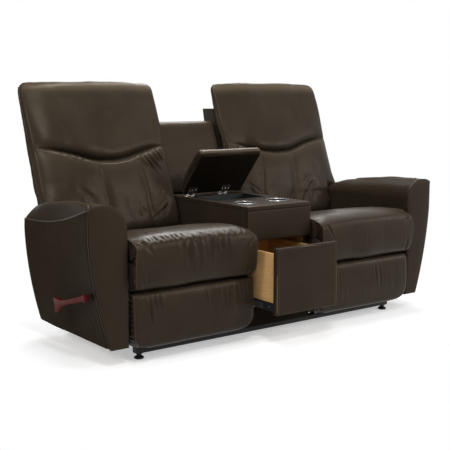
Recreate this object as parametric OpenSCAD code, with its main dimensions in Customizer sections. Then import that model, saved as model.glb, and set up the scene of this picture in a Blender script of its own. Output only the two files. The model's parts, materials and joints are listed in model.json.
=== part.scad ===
// Reclining loveseat with a middle console, in millimetres.
// Working axes while modelling: x = 0 on the console's middle, y = 0 on the console's front face with
// +y to the rear, z = 0 on the floor. The placed() module then moves the origin to the middle of the
// footprint. Right-hand pieces are drawn at +x and the left-hand ones are their mirror images.
// As drawn, the drawer stands open, the lid is half up, both footrests are shut and both backs upright.

/* [Seats] */
// Width of one seat cushion
seat_w = 572; // [500:1:650]
// Gap between the console and a seat cushion
seat_gap = 7; // [4:0.5:14]
// Gap between a seat cushion and an arm
arm_gap = 18.5; // [14:0.5:26]
// Height of the seat cushion's top at its front
seat_z = 494; // [470:1:530]
// How much lower the cushion's top is at the back
seat_fall = 64; // [30:1:80]
// Depth of the seat cushion behind the console's front face
seat_d = 474; // [440:1:476]
// How far the front roll stands out before the console's front face
roll_out = 70; // [50:1:90]
// Height of the front roll's lower edge
roll_z = 285; // [283:1:286]
// Rise of the seat crown in the middle
seat_crown = 16; // [4:1:30]
// Thickness of the wooden seat rails
seat_rail_t = 22; // [16:1:26]
// Height of the wooden seat rails
seat_rail_h = 55; // [45:1:58]
// Height of the seat rails' lower edge
seat_rail_z = 290; // [288:1:294]
// Thickness of a spring strip
spring_t = 4; // [3:0.5:4.5]
// Number of springs in a seat
spring_n = 4; // [3:1:6]

/* [Backs] */
// Height of a back cushion
back_h = 1071; // [1000:1:1120]
// Depth at which the back cushion's front starts, at seat level
back_y = 482; // [479:1:500]
// Slope of the back cushion's front, as depth per height
back_lean = 0.4; // [0.3:0.01:0.45]
// Height of the back cushion's lower edge
back_z = 402; // [400:1:430]
// Thickness of the back cushion at its top
back_t = 46; // [36:1:60]
// Growth of the back cushion's thickness, per height downwards
back_taper = 0.08; // [0.04:0.01:0.1]
// How far the back cushion reaches out over the arm
back_over = 84; // [40:1:86]
// How far below the top of the arm it starts to reach out
back_over_drop = 60; // [30:1:62]
// Height over which it widens
back_over_h = 62; // [55:1:90]
// Radius of its upper corners, seen from the front
back_corner = 42; // [16:1:60]
// Height of the crease between the head and lumbar sections, at the middle
crease_z = 738; // [720:1:780]
// Rise of that crease towards the sides
crease_rise = 58; // [20:1:80]
// Depth of the crease
crease_d = 17; // [5:1:24]
// Height of the outer back shell
shell_h = 949; // [930:1:980]
// Depth of the outer back shell's top edge
shell_y = 820; // [800:1:860]
// Slope of the outer back shell
shell_lean = 0.2; // [0.1:0.01:0.25]
// Thickness of the outer back shell
shell_t = 10; // [8:1:14]
// Height of the outer back shell's lower edge
shell_z = 330; // [310:1:345]
// Distance of the back hinge behind the console's front face
hinge_y = 580; // [578:1:584]
// Height of the back hinge
hinge_z = 372; // [368:1:374]
// Width of the back frame's stiles
stile_w = 38; // [30:1:42]

/* [Footrests] */
// Depth of the footrest cushion's front before the console's front face
foot_out = 47; // [40:1:56]
// Height of the footrest's lower edge
foot_z = 62; // [58:1:70]
// Gap between the footrest and the seat's front roll
foot_gap = 6; // [4:1:10]
// Thickness of the footrest cushion
foot_t = 62; // [50:1:64]
// Thickness of the footrest board
board_t = 12; // [9:1:12]
// Side margin of the footrest board inside its cushion
board_in = 36; // [25:1:50]

/* [Footrest mechanism] */
// Distance of the handle shaft behind the console's front face
shaft_y = 41; // [41:0.5:44]
// Height of the handle shaft
shaft_z = 271; // [268:0.5:272]
// Radius of the handle shaft
shaft_r = 8; // [6:0.5:8]
// Distance of the rear links' fixed pivot behind the console's front face
pivot_y = 105; // [102:1:108]
// Height of the rear links' fixed pivot
pivot_z = 222; // [219:1:225]
// Length of a rear link between pivots
link_l = 163; // [158:1:166]
// Angle of the rear link below the horizontal
link_a = 50.9; // [48:0.1:53]
// Distance of the footrest pivot behind the console's front face
toe_y = 50; // [48:1:52]
// Height of the footrest pivot
toe_z = 200; // [196:1:204]
// Radius of the handle shaft's crank
crank_r = 34; // [32:0.5:36]
// Angle of the crank below the horizontal
crank_a = 65; // [60:1:70]
// Length of the rear link's short arm
horn_r = 30; // [28:0.5:32]
// Angle of that short arm above the horizontal
horn_a = 25; // [22:1:28]
// Thickness of a link plate
link_t = 4; // [3:0.5:4.5]
// Distance between neighbouring link plates' faces on one side
link_pitch = 5; // [5:0.5:6]
// Width of a link plate
link_w = 20; // [16:1:22]
// Radius of a pivot pin
pin_r = 5; // [4:0.5:6]
// Running clearance of a pin in its hole, on the radius
pin_gap = 0.06; // [0.02:0.01:0.1]
// Extra play of the drive rod's open eye, on the radius
eye_play = 2.8; // [2.5:0.1:3.2]
// Distance of the side plates from the seat's middle
plate_x = 212; // [205:1:216]
// Forward travel of the seat as its back reclines
seat_travel = 30; // [20:1:35]
// Tilt of the seat's slots
slot_a = 10; // [6:1:14]
// Radius of a seat guide pin
guide_r = 6; // [5:0.5:7]
// Length of the handle from its pivot
handle_l = 262; // [230:1:280]
// Droop of the handle's grip end
handle_a = 16; // [10:1:20]
// Thickness of the handle
handle_t = 18; // [14:1:20]
// Height of the handle's flared grip
grip_h = 60; // [45:1:70]

/* [Arms] */
// Width of an arm at its top
arm_w = 152; // [140:1:170]
// Width of an arm at its foot
arm_foot_w = 68; // [64:1:90]
// Height of an arm's front
arm_h = 619; // [590:1:650]
// Height of an arm's lower edge
arm_z = 71; // [60:1:90]
// How far an arm's front stands before the console's front face
arm_out = 26; // [10:1:30]
// Depth of an arm's foot behind the console's front face
arm_d = 572; // [560:1:600]
// How much shorter the arm is at its top than at its foot
arm_short = 50; // [20:1:60]
// Thickness of an arm's front panel
arm_front_t = 20; // [16:1:26]
// Thickness of an arm's padded side cover
cover_t = 16; // [12:1:18]
// Depth of the hollow in the side cover
scoop = 35; // [20:1:38]
// Thickness of an arm's inner board
arm_board_t = 12; // [9:1:15]
// Fall of the outer seam from front to rear
seam_fall = 84; // [60:1:90]
// Fall of the crest from its highest point to the rear
crest_fall = 46; // [30:1:60]

/* [Console] */
// Width of the console
console_w = 341; // [325:1:400]
// Height of the deck
deck_z = 559; // [540:1:580]
// Thickness of the deck
deck_t = 16; // [12:1:18]
// Depth of the deck before the lid
deck_d = 240; // [220:1:260]
// Thickness of the console's side boards
side_t = 18; // [15:1:22]
// Thickness of the front apron and the kick panel
apron_t = 24; // [18:1:30]
// Height of the front apron's lower edge
apron_z = 413; // [400:1:425]
// Height of the kick panel's upper edge
kick_z = 130; // [120:1:150]
// Distance between the middles of the two cup holders
cup_pitch = 176; // [140:1:190]
// Distance of the cup holders behind the console's front face
cup_y = 132; // [120:1:150]
// Inner radius of a cup holder
cup_r = 42; // [36:0.5:45]
// Depth of a cup holder below the deck
cup_d = 68; // [50:1:85]
// Wall of a cup holder
cup_wall = 1.5; // [1:0.1:2]
// Width of the cup holder's rim
cup_rim = 7; // [4:0.5:9]
// Wall of the storage bin
bin_wall = 6; // [4:0.5:8]
// Depth of the storage bin
bin_d = 118; // [80:1:122]
// Width of the deck beside the storage bin
bin_edge = 28; // [20:1:40]
// Length of the lid, front to rear
lid_l = 246; // [220:1:260]
// Thickness of the lid's padding
lid_t = 32; // [24:1:45]
// Thickness of the lid's board
lid_board_t = 9; // [6:1:12]
// Opening angle of the lid as drawn
lid_open = 50; // [50:1:60]
// Place of the left lid hinge from the console's middle
lid_hinge_left = -125; // [-130:1:-90]
// Place of the right lid hinge from the console's middle
lid_hinge_right = 60; // [40:1:120]
// Radius of a lid hinge's knuckle
knuckle_r = 4.5; // [4:0.5:5]
// Radius of a lid hinge's pin
lid_pin_r = 2.5; // [2:0.1:3]
// Height of the middle back
mid_back_h = 888; // [850:1:920]
// Distance of the middle back's front at deck level
mid_back_y = 590; // [580:1:610]
// Thickness of the middle back's padding
mid_back_t = 36; // [25:1:50]

/* [Drawer] */
// How far the drawer stands open as drawn
drawer_out = 178; // [120:1:200]
// Thickness of the drawer front
drawer_front_t = 22; // [18:1:23]
// Height of the drawer front's lower edge
drawer_z = 134; // [132:1:155]
// Gap round the drawer front
drawer_gap = 5; // [3:0.5:8]
// Length of the drawer box
drawer_l = 400; // [360:1:430]
// Thickness of the drawer's boards
drawer_wall = 12; // [9:1:15]
// Height of the drawer box
drawer_h = 205; // [150:1:220]
// Height of the drawer box above the drawer front's lower edge
drawer_rise = 40; // [30:1:50]
// Room for the slide on each side
slide_room = 13; // [12.5:0.1:14]
// Height of a slide
slide_h = 38; // [35:1:46]

/* [Base] */
// Height of a floor glide
glide_h = 23; // [15:1:30]
// Radius of a floor glide
glide_r = 20; // [15:1:25]
// Height of the base rails
rail_h = 23; // [18:1:26]
// Depth of the base rails
rail_d = 32; // [25:1:34]
// Distance of the front rail behind the console's front face
rail_y = 28; // [28:1:32]
// Width of a mechanism rail
mech_rail_w = 20; // [15:1:24]
// Height of a mechanism rail
mech_rail_h = 30; // [20:1:34]

/* [Hidden] */
$fn = 48;

// Colours
hide = "#3c322b";
hide_dark = "#2c2521";
timber = "#c9a878";
birch = "#d8bd94";
cherry = "#7c2f26";
steel = "#55585c";
black = "#1d1d1f";
chrome = "#c8cacc";

// A face-to-face seat of a loose piece, and the play beside a soft one
seat_play = 0.3;

// Places across the width, from the console's middle outwards
console_x = console_w / 2;
seat_x0 = console_x + seat_gap;
seat_x1 = seat_x0 + seat_w;
seat_xm = (seat_x0 + seat_x1) / 2;
arm_x0 = seat_x1 + arm_gap;
arm_x1 = arm_x0 + arm_w;
rail_x = seat_xm + plate_x + link_t + mech_rail_w;

// Places along the depth
shell_rear = shell_y;
drawer_y = apron_t - drawer_front_t - drawer_out;
front_y = drawer_y;
mid_y = (shell_rear + front_y) / 2;
rear_rail_y = arm_d - rail_d;

// Heights
rail_z = glide_h;
rail_top = rail_z + rail_h;
mech_top = rail_top + mech_rail_h;
seat_rail_top = seat_rail_z + seat_rail_h;
cushion_z = seat_rail_top + spring_t + 1;

function mix(a, b, t) = a + (b - a) * t;
function clamp01(t) = min(1, max(0, t));
function smooth(t) = let (c = clamp01(t)) c * c * (3 - 2 * c);
function bump(x, middle, width) = exp(-pow((x - middle) / width, 2));
function polar(r, a) = [r * cos(a), r * sin(a)];
function centre(ring) = let (n = len(ring))
    [for (k = [0:2]) [for (p = ring) p[k]] * [for (p = ring) 1] / n];

module placed() {
    translate([0, -mid_y, 0])
        children();
}

// Right-hand pieces as drawn, or their mirror images
module sided(side) {
    placed()
        if (side < 0)
            mirror([1, 0, 0]) children();
        else
            children();
}

// A plate with its outline in depth and height, extruded across the width from x
module across(x, t) {
    translate([x, 0, 0])
        rotate([90, 0, 90])
            linear_extrude(t)
                children();
}

// A plate with its outline in width and height, extruded along the depth from y
module along(y, t) {
    translate([0, y + t, 0])
        rotate([90, 0, 0])
            linear_extrude(t)
                children();
}

// A round bar across the width
module bar(x, l, at, r) {
    translate([x, at[0], at[1]])
        rotate([0, 90, 0])
            cylinder(h = l, r = r);
}

module box(low, high) {
    translate(low)
        cube(high - low);
}

// A closed skin through rings of equally many points, with a fan over each end
module loft(rings) {
    n = len(rings[0]);
    m = len(rings);
    points = [for (ring = rings) each ring, centre(rings[0]), centre(rings[m - 1])];
    sides = [for (i = [0:m - 2], j = [0:n - 1])
        let (a = i * n + j, b = i * n + (j + 1) % n)
        each [[a, b, b + n], [a, b + n, a + n]]];
    first = [for (j = [0:n - 1]) [n * m, (j + 1) % n, j]];
    last = [for (j = [0:n - 1]) [n * m + 1, (m - 1) * n + j, (m - 1) * n + (j + 1) % n]];
    polyhedron(points, concat(sides, first, last));
}

// Stations from -1 to 1, closer together towards both ends
function stations(n) = [for (i = [0:n]) let (t = 2 * i / n - 1) sign(t) * (1 - pow(1 - abs(t), 1.7))];

// A straight link outline: round eyes joined by a bar a little narrower than they are
module link_outline(points, w, eye) {
    for (p = points)
        translate(p) circle(r = eye);
    for (i = [0:len(points) - 2]) {
        d = points[i + 1] - points[i];
        translate(points[i])
            rotate(atan2(d[1], d[0]))
                translate([0, -w / 2])
                    square([norm(d), w]);
    }
}

// Both sides of a seat's mechanism, as drawn on its outer side
module both_sides() {
    translate([seat_xm, 0, 0]) {
        children();
        mirror([1, 0, 0]) children();
    }
}

// Base
module base_rails() {
    color(black) placed()
        for (y = [rail_y, rear_rail_y])
            box([-rail_x, y, rail_z], [rail_x, y + rail_d, rail_top]);
}

bracket_w = 36;
bracket_in = 62;
bracket_ys = [rail_y + bracket_in, rear_rail_y - bracket_in - 18];
bracket_up = 40;
module mechanism_rails() {
    color(steel) placed()
        for (side = [0, 1])
            mirror([side, 0, 0]) {
                both_sides()
                    box([plate_x + link_t, rail_y, rail_top],
                        [plate_x + link_t + mech_rail_w, rear_rail_y + rail_d, mech_top]);
                for (y = bracket_ys)
                    box([rail_x, y, rail_top + 4], [arm_x0, y + bracket_w, arm_z + bracket_up]);
            }
}

glide_in = 20;
module floor_glides() {
    color(black) placed()
        for (x = [-rail_x + glide_in, rail_x - glide_in], y = [rail_y, rear_rail_y])
            translate([x, y + rail_d / 2, 0]) {
                cylinder(h = glide_h / 2, r = glide_r);
                cylinder(h = glide_h, r = glide_r * 0.6);
            }
}

// Footrest linkage, in depth and height
shaft_at = [shaft_y, shaft_z];
pivot_at = [pivot_y, pivot_z];
knee_at = pivot_at + polar(link_l, -link_a);
toe_at = [toe_y, toe_z];
crank_at = shaft_at + polar(crank_r, -crank_a);
horn_at = pivot_at + polar(horn_r, horn_a);
eye_r = link_w / 2 + 2;
small_pin_r = pin_r - 1;
small_eye_r = small_pin_r + 5;
boss_r = shaft_r + 4;

// Distances of the link plates' inner faces from the seat's middle
rear_link_x = plate_x - link_pitch;
front_link_x = rear_link_x - link_pitch;
toe_plate_x = front_link_x - link_pitch;
crank_x = toe_plate_x - link_pitch;
rod_x = crank_x - link_pitch;

// Seat guides: pins on the side plates run in slots of the seat's brackets
guide_z = seat_rail_z + 17;
guide_ys = [130, 420];
ear_half = 24;
module mechanism_side_plates() {
    color(steel) placed()
        for (side = [0, 1])
            mirror([side, 0, 0]) both_sides() {
                difference() {
                    across(plate_x, link_t) {
                        translate([rail_y + rail_d, rail_top])
                            square([rear_rail_y - rail_y - rail_d, mech_rail_h]);
                        for (y = guide_ys)
                            translate([y - ear_half, rail_top])
                                square([2 * ear_half, guide_z + guide_r + 8 - rail_top]);
                        translate([shaft_y, shaft_z - boss_r])
                            square([guide_ys[0] - shaft_y, 2 * boss_r]);
                        translate(shaft_at) circle(r = boss_r);
                    }
                    bar(plate_x - 1, link_t + 2, shaft_at, shaft_r + pin_gap);
                }
                bar(rear_link_x - 0.5, link_pitch + 1, pivot_at, pin_r);
                for (y = guide_ys)
                    bar(plate_x + link_t - 0.5, link_pitch, [y, guide_z], guide_r);
            }
}

module torque_shaft(side) {
    color(steel) sided(side) {
        bar(seat_xm - plate_x - link_t - 3, handle_x + handle_t - seat_xm + plate_x + link_t + 3,
            shaft_at, shaft_r);
        bar(handle_x + handle_t, 3, shaft_at, boss_r);
        both_sides() {
            across(crank_x, link_t)
                link_outline([shaft_at, crank_at], 14, small_eye_r);
            across(crank_x, link_t)
                translate(shaft_at) circle(r = boss_r);
            bar(rod_x - 0.5, link_pitch + 1, crank_at, small_pin_r);
        }
    }
}

module drive_rods(side) {
    color(steel) sided(side) both_sides()
        difference() {
            across(rod_x, link_t) {
                link_outline([crank_at, horn_at], 12, small_eye_r);
                translate(horn_at) circle(r = small_eye_r + eye_play + 1);
            }
            bar(rod_x - 1, link_t + 2, crank_at, small_pin_r + pin_gap);
            bar(rod_x - 1, link_t + 2, horn_at, small_pin_r + eye_play);
        }
}

module rear_links(side) {
    color(steel) sided(side) both_sides() {
        difference() {
            across(rear_link_x, link_t) {
                link_outline([pivot_at, knee_at], link_w, eye_r);
                link_outline([pivot_at, horn_at], 14, small_eye_r);
            }
            bar(rear_link_x - 1, link_t + 2, pivot_at, pin_r + pin_gap);
        }
        bar(front_link_x - 0.5, link_pitch + 1, knee_at, pin_r);
        bar(rod_x - 0.5, rear_link_x - rod_x + 1, horn_at, small_pin_r);
    }
}

module front_links(side) {
    color(steel) sided(side) both_sides() {
        difference() {
            across(front_link_x, link_t)
                link_outline([knee_at, toe_at], link_w, eye_r);
            bar(front_link_x - 1, link_t + 2, knee_at, pin_r + pin_gap);
        }
        bar(toe_plate_x - 0.5, link_pitch + 1, toe_at, pin_r);
    }
}

// Footrest
foot_top = roll_z - foot_gap;
board_y = foot_t - foot_out;
board_back = board_y + board_t;
board_x = seat_w / 2 - board_in;
board_z0 = foot_z + 20;
board_z1 = foot_top - 7;
module footrest_brackets(side) {
    color(steel) sided(side) both_sides()
        difference() {
            across(toe_plate_x, link_t) {
                polygon([[board_back, toe_z - 70], [board_back, toe_z + 55], toe_at + [0, eye_r],
                    toe_at, toe_at + [0, -eye_r], [board_back + 8, toe_z - 60]]);
                translate(toe_at) circle(r = eye_r);
            }
            bar(toe_plate_x - 1, link_t + 2, toe_at, pin_r + pin_gap);
        }
}

module footrest_board(side) {
    color(timber) sided(side)
        box([seat_xm - board_x, board_y, board_z0], [seat_xm + board_x, board_back, board_z1]);
}

// One section of the footrest cushion: a rounded slab that swells in front
function foot_ring(s) =
    let (x = seat_xm + s * seat_w / 2,
        e = pow(abs(s), 8),
        low = foot_z + 18 * e,
        high = foot_top - 5 * e,
        swell = 9 * (1 - s * s) - 16 * e,
        back = board_y - seat_play - 4 * e)
    [[x, back, low + 8], [x, back, high - 6], [x, back - 8, high],
        for (k = [0:10]) let (t = k / 10, z = mix(high - 1, low + 1, t))
            [x, -foot_out + 12 - 12 * pow(sin(180 * mix(0.03, 0.97, t)), 0.35)
                - (swell - 9) * sin(180 * t), z],
        [x, back - 10, low]];
module footrest_pad(side) {
    color(hide) sided(side)
        loft([for (s = stations(14)) foot_ring(s)]);
}

// Seat
rail_in = plate_x + link_t + link_pitch;
rail_out = rail_in + seat_rail_t;
seat_front_y = 20;
seat_back_y = seat_d + 31;
bracket_x = rail_in - link_t - 0.5;
module seat_frame(side) {
    color(timber) sided(side) translate([seat_xm, 0, 0]) {
        for (m = [0, 1])
            mirror([m, 0, 0])
                box([rail_in, seat_front_y, seat_rail_z], [rail_out, seat_back_y, seat_rail_top]);
        box([-rail_out, seat_front_y, seat_rail_z], [rail_out, seat_front_y + seat_rail_t, seat_rail_top]);
        box([-bracket_x, seat_back_y - seat_rail_t, seat_rail_z], [bracket_x, seat_back_y, seat_rail_top]);
    }
}

// A zigzag spring strip, as its left and right edges
wave_n = 28;
wave_w = 18;
spring_w = 6;
function spring_edge(x, shift) = [for (i = [0:wave_n])
    [x + shift + wave_w * sin(i * 90 + 45) / 0.71, mix(seat_front_y + 4, seat_back_y - 4, i / wave_n)]];
function turned(list) = [for (i = [len(list) - 1:-1:0]) list[i]];
module seat_springs(side) {
    color(steel) sided(side)
        for (i = [1:spring_n]) {
            x = seat_xm - rail_in + 2 * rail_in * i / (spring_n + 1);
            translate([0, 0, seat_rail_top])
                linear_extrude(spring_t)
                    polygon(concat(spring_edge(x, -spring_w / 2), turned(spring_edge(x, spring_w / 2))));
        }
}

// Steel brackets under the seat, slotted for the guide pins, with the back's hinge pins behind
hinge_at = [hinge_y, hinge_z];
stile_x = rail_in + 6;
stile_t = 30;
slot_end = [seat_travel * cos(slot_a), -seat_travel * sin(slot_a)];
module seat_brackets(side) {
    color(steel) sided(side) both_sides() {
        difference() {
            across(bracket_x, rail_in - bracket_x) {
                translate([guide_ys[0] - 40, seat_rail_z])
                    square([seat_back_y - guide_ys[0] + 40, 36]);
                polygon([[seat_back_y - 60, seat_rail_z + 34], [seat_back_y - 24, seat_rail_z + 2],
                    [seat_back_y, seat_rail_z + 2], hinge_at + [10, -14], hinge_at + [-10, 14]]);
                translate(hinge_at) circle(r = 20);
            }
            for (y = guide_ys)
                across(bracket_x - 1, rail_in - bracket_x + 2)
                    link_outline([[y, guide_z], [y, guide_z] + slot_end],
                        2 * guide_r + 0.2, guide_r + 0.2);
        }
        bar(rail_in - 0.5, stile_x + stile_t - rail_in + 0.5, hinge_at, guide_r);
    }
}

// One section of the seat cushion, from its rear foot under the cushion, round the roll and back
roll_y = -12;
function seat_ring(s) =
    let (e = pow(abs(s), 9),
        x = seat_xm + s * seat_w / 2,
        mid_z = (seat_z + roll_z) / 2,
        half_h = (seat_z - roll_z) / 2,
        rise = seat_crown * (1 - s * s) - 20 * e,
        out = (roll_out + roll_y) * (1 - 0.3 * e))
    [[x, seat_d, cushion_z], [x, 250, cushion_z], [x, seat_front_y - seat_play, cushion_z],
        [x, seat_front_y - 1, roll_z + 14], [x, seat_front_y - 8, roll_z + 3],
        for (k = [0:11]) let (a = -85 + k * 170 / 11)
            [x, roll_y - out * pow(cos(a), 0.62), mid_z + half_h * sin(a) + rise * (k / 11)],
        for (k = [1:5]) let (t = k / 5)
            [x, mix(roll_y, seat_d - 12, t), seat_z + rise - seat_fall * pow(t, 1.3) - 7 * smooth((t - 0.8) / 0.2)],
        [x, seat_d, seat_z - seat_fall - 24]];
module seat_cushion(side) {
    color(hide) sided(side)
        loft([for (s = stations(18)) seat_ring(s)]);
}

// Back: front line of the cushion, its rear line, and the shell's rear line
back_foot_z = 463;
function front_line(z) = back_y + back_lean * (z - back_foot_z);
function pad_depth(z) = back_t + back_taper * (back_h - z);
function rear_line(z) = front_line(z) + pad_depth(z);
function shell_line(z) = shell_rear - shell_lean * (shell_h - z);

pad_gap = 0.3;
function frame_line(z) = rear_line(z) + pad_gap;
module back_frame(side) {
    stile_top = shell_h - shell_t - 2;
    z0 = back_z + 16;
    color(timber) sided(side) translate([seat_xm, 0, 0]) {
        for (m = [0, 1])
            mirror([m, 0, 0])
                difference() {
                    across(stile_x, stile_t) {
                        translate(hinge_at) circle(r = 26);
                        polygon([hinge_at + [-10, 0], hinge_at + [24, -6],
                            [frame_line(z0) + stile_w, z0], [frame_line(stile_top) + stile_w, stile_top],
                            [frame_line(stile_top), stile_top], [frame_line(z0), z0]]);
                    }
                    bar(stile_x - 1, stile_t + 2, hinge_at, guide_r + pin_gap);
                }
        for (z = [back_z + 20, crease_z - 60, stile_top - 44])
            across(-stile_x, 2 * stile_x)
                polygon([[frame_line(z), z], [frame_line(z) + 22, z],
                    [frame_line(z + 44) + 22, z + 44], [frame_line(z + 44), z + 44]]);
    }
}

shell_in = 2;
shell_half = seat_w / 2 - shell_in;
module back_shell(side) {
    wing_z = back_z + 24;
    color(hide_dark) sided(side) translate([seat_xm, 0, 0]) {
        across(-shell_half, 2 * shell_half)
            polygon([[shell_line(shell_z) - shell_t, shell_z], [shell_line(shell_z), shell_z],
                [shell_line(shell_h), shell_h], [shell_line(shell_h) - shell_t, shell_h]]);
        for (m = [0, 1])
            mirror([m, 0, 0])
                across(shell_half - shell_t, shell_t)
                    polygon([[rear_line(wing_z) + 1, wing_z], [shell_line(wing_z) - 5, wing_z],
                        [shell_line(shell_h) - 5, shell_h], [rear_line(shell_h) + 1, shell_h]]);
        across(-shell_half, 2 * shell_half)
            polygon([[rear_line(shell_h) + 1, shell_h - shell_t], [shell_line(shell_h) - 5, shell_h - shell_t],
                [shell_line(shell_h) - 5, shell_h], [rear_line(shell_h) + 1, shell_h]]);
    }
}

// Back cushion: places across it at s from -1, console side, to 1, arm side. Its outer edge reaches out
// over the arm above back_over_z. The front has a head section, a smiling crease, a lumbar swell with
// two sewn channels, and it thins towards the boxed sides.
head_up = 150;
head_len = 110;
lumbar_down = 110;
lumbar_len = 95;
back_round = 14;
back_over_z = arm_h - back_over_drop;
function back_in(z) = let (c = clamp01((z - back_h + back_corner) / back_corner))
    back_corner * (1 - sqrt(1 - c * c));
function back_x(s, z) = mix(seat_x0 + seat_gap * 0.2 + back_in(z), seat_x1
    + back_over * smooth((z - back_over_z) / back_over_h) - back_in(z), (s + 1) / 2);
function crease_at(s) = crease_z + crease_rise * pow(abs(s), 1.6);
function back_swell(s, z) =
    let (q = 1 - pow(abs(s), 3), c = crease_at(s))
    q * (14 * bump(z, c + head_up, head_len) + 20 * bump(z, c - lumbar_down, lumbar_len))
    - crease_d * (1 - 0.5 * pow(abs(s), 4)) * bump(z, c, 16)
    - 5 * smooth((c - 30 - z) / 40) * (bump(s, -0.36, 0.05) + bump(s, 0.36, 0.05));
function back_closing(z, l) = let (c = clamp01((z - back_h + l) / l)) 1 - sqrt(1 - c * c);
function back_front(s, z) =
    let (edge = 11 * (smooth((z - back_h + 60) / 60) + smooth((back_z + 54 - z) / 50)))
    max(back_y - 3, front_line(z) + edge + 12 * pow(abs(s), 10) - back_swell(s, z))
        + 0.42 * back_t * back_closing(z, back_round);
function back_rear(s, z) = rear_line(z) - 8 * pow(abs(s), 10) - 0.28 * back_t * back_closing(z, back_round);
back_rows = concat([back_z + 4], [for (k = [0:23]) mix(back_z + 14, back_h - back_corner - 4, k / 23)],
    [for (a = [20, 40, 58, 74, 90]) back_h - back_corner * (1 - sin(a))]);
// One level section of the back cushion
function back_ring(z) = concat(
    [for (s = turned(stations(20))) [back_x(s, z), back_front(s, z), z]],
    [for (s = stations(6)) [back_x(s, z), back_rear(s, z), z]]);
module back_pad(side) {
    color(hide) sided(side)
        loft([for (z = back_rows) back_ring(z)]);
}

// Arm: outer face, outer seam and crest
arm_top_out_z = arm_h - 18;
arm_bend_z = arm_h - 75;
function arm_rear(z) = arm_d - arm_short * (z - arm_z) / (arm_h - 70 - arm_z);
function arm_side_x(z) = arm_x1 + 2 - (arm_w - arm_foot_w) * pow(clamp01((arm_bend_z - z)
    / (arm_bend_z - arm_z)), 1.8);
function arm_y(t, z) = mix(-arm_out + arm_front_t, arm_rear(z), t);
function arm_scoop(t, z) = scoop * pow(sin(180 * t), 0.9)
    * pow(sin(180 * clamp01((z - arm_z) / (arm_h + 20 - arm_z))), 0.6);
function arm_face_x(t, z) = min(arm_x1, arm_side_x(z)) - arm_scoop(t, z);
function seam_z(t) = arm_top_out_z - seam_fall * pow(sin(90 * min(1, t * 1.15)), 1.1);
function crest_z(t) = arm_h - crest_fall * pow(t, 1.8);

// One section of the side cover: its outer face upwards, then its inner face downwards
function cover_ring(t) =
    let (rows = 8, top = seam_z(t) - 2)
    [for (k = [0:rows]) let (z = mix(arm_z, top, k / rows)) [arm_face_x(t, z), arm_y(t, z), z],
        for (k = [rows:-1:0]) let (z = mix(arm_z, top, k / rows))
            [arm_face_x(t, z) - cover_t, arm_y(t, z), z]];
module arm_cover(side) {
    color(hide) sided(side)
        difference() {
            loft([for (i = [0:12]) cover_ring(i / 12)]);
            bar(arm_x0, arm_w, shaft_at, shaft_r + 1);
        }
}

// Front panel outline: foot, outer edge, shoulder, crest, and the rounded inner edge
arm_round_w = 98;
arm_crest_w = 101;
arm_round_h = 116;
module arm_front_outline() {
    x0 = arm_x0 - 2;
    polygon([[x0, arm_z], for (k = [0:10]) let (z = mix(arm_z, arm_h - 70, k / 10))
            [min(arm_x1, arm_side_x(z)), z],
        [arm_x1, arm_top_out_z - 8], [arm_x1 - 4, arm_top_out_z + 6], [arm_x1 - 22, arm_h - 3],
        for (k = [0:9]) let (a = 88 + 92 * k / 9)
            [x0 + arm_round_w + arm_round_w * cos(a), arm_h - arm_round_h + arm_round_h * sin(a)]]);
}
module arm_front(side) {
    color(hide) sided(side)
        along(-arm_out, arm_front_t)
            arm_front_outline();
}

// Inner board, posts and rails of an arm, with its rear board
post_w = 34;
rear_board_t = 10;
rear_board_at = 0.965;
arm_pad_h = 114;
arm_rail_top = arm_h - arm_pad_h;
module arm_frame(side) {
    y0 = -arm_out + arm_front_t;
    lean = atan(arm_short / (arm_h - 70 - arm_z));
    rear_top = arm_rear(arm_rail_top);
    board = arm_x0 + arm_board_t;
    color(timber) sided(side) {
        difference() {
            across(arm_x0, arm_board_t)
                polygon([[y0, arm_z], [arm_rear(arm_z) - rear_board_t - 1, arm_z],
                    [rear_top - rear_board_t - 1, arm_rail_top], [y0, arm_rail_top]]);
            bar(arm_x0 - 1, arm_board_t + 2, shaft_at, shaft_r + 1);
        }
        box([board, y0, arm_z + 4], [board + post_w, y0 + 22, arm_rail_top]);
        box([board, rear_top - 48, arm_z + 4], [board + post_w, rear_top - 26, arm_rail_top]);
        box([board, y0 + 22, arm_rail_top - 24], [board + 2 * post_w, rear_top - 48, arm_rail_top]);
        box([board, y0 + 22, arm_z + 4], [board + 0.8 * post_w, rear_top - 48, arm_z + 34]);
        translate([0, arm_rear(arm_z) - rear_board_t, arm_z])
            rotate([lean, 0, 0])
                along(0, rear_board_t)
                    polygon([[arm_x0, 0], for (k = [0:8]) let (z = mix(arm_z, arm_rail_top - 2, k / 8))
                        [arm_face_x(rear_board_at, z) - cover_t - 1, (z - arm_z) / cos(lean)],
                        [arm_x0, (arm_rail_top - 2 - arm_z) / cos(lean)]]);
    }
}

// One section of the arm pad: inner side, rounded shoulder, crest, roll down to the seam, and underside
function arm_pad_ring(t) =
    let (z0 = arm_rail_top + seat_play, top = crest_z(t), seam = seam_z(t), x_in = arm_x0 - 6,
        x_seam = arm_face_x(t, seam), x_low = arm_face_x(t, z0) - cover_t - 2,
        points = [[x_in + 4, z0], [x_in, z0 + 14],
            for (k = [0:7]) let (a = 180 - 92 * k / 7)
                [x_in + arm_round_w * (1 + cos(a)), mix(z0 + 18, top, sin(a))],
            for (k = [1:5]) let (u = k / 5)
                [mix(x_in + arm_crest_w, x_seam - 1, u), mix(seam, top, pow(1 - pow(u, 2.2), 0.62))],
            [x_seam - cover_t - 1.5, seam - 1], [x_low, z0]])
    [for (p = points) [p[0], arm_y(t, p[1]), p[1]]];
module arm_pad(side) {
    color(hide) sided(side)
        loft(turned([for (i = [0:14]) arm_pad_ring(i / 14)]));
}

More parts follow.
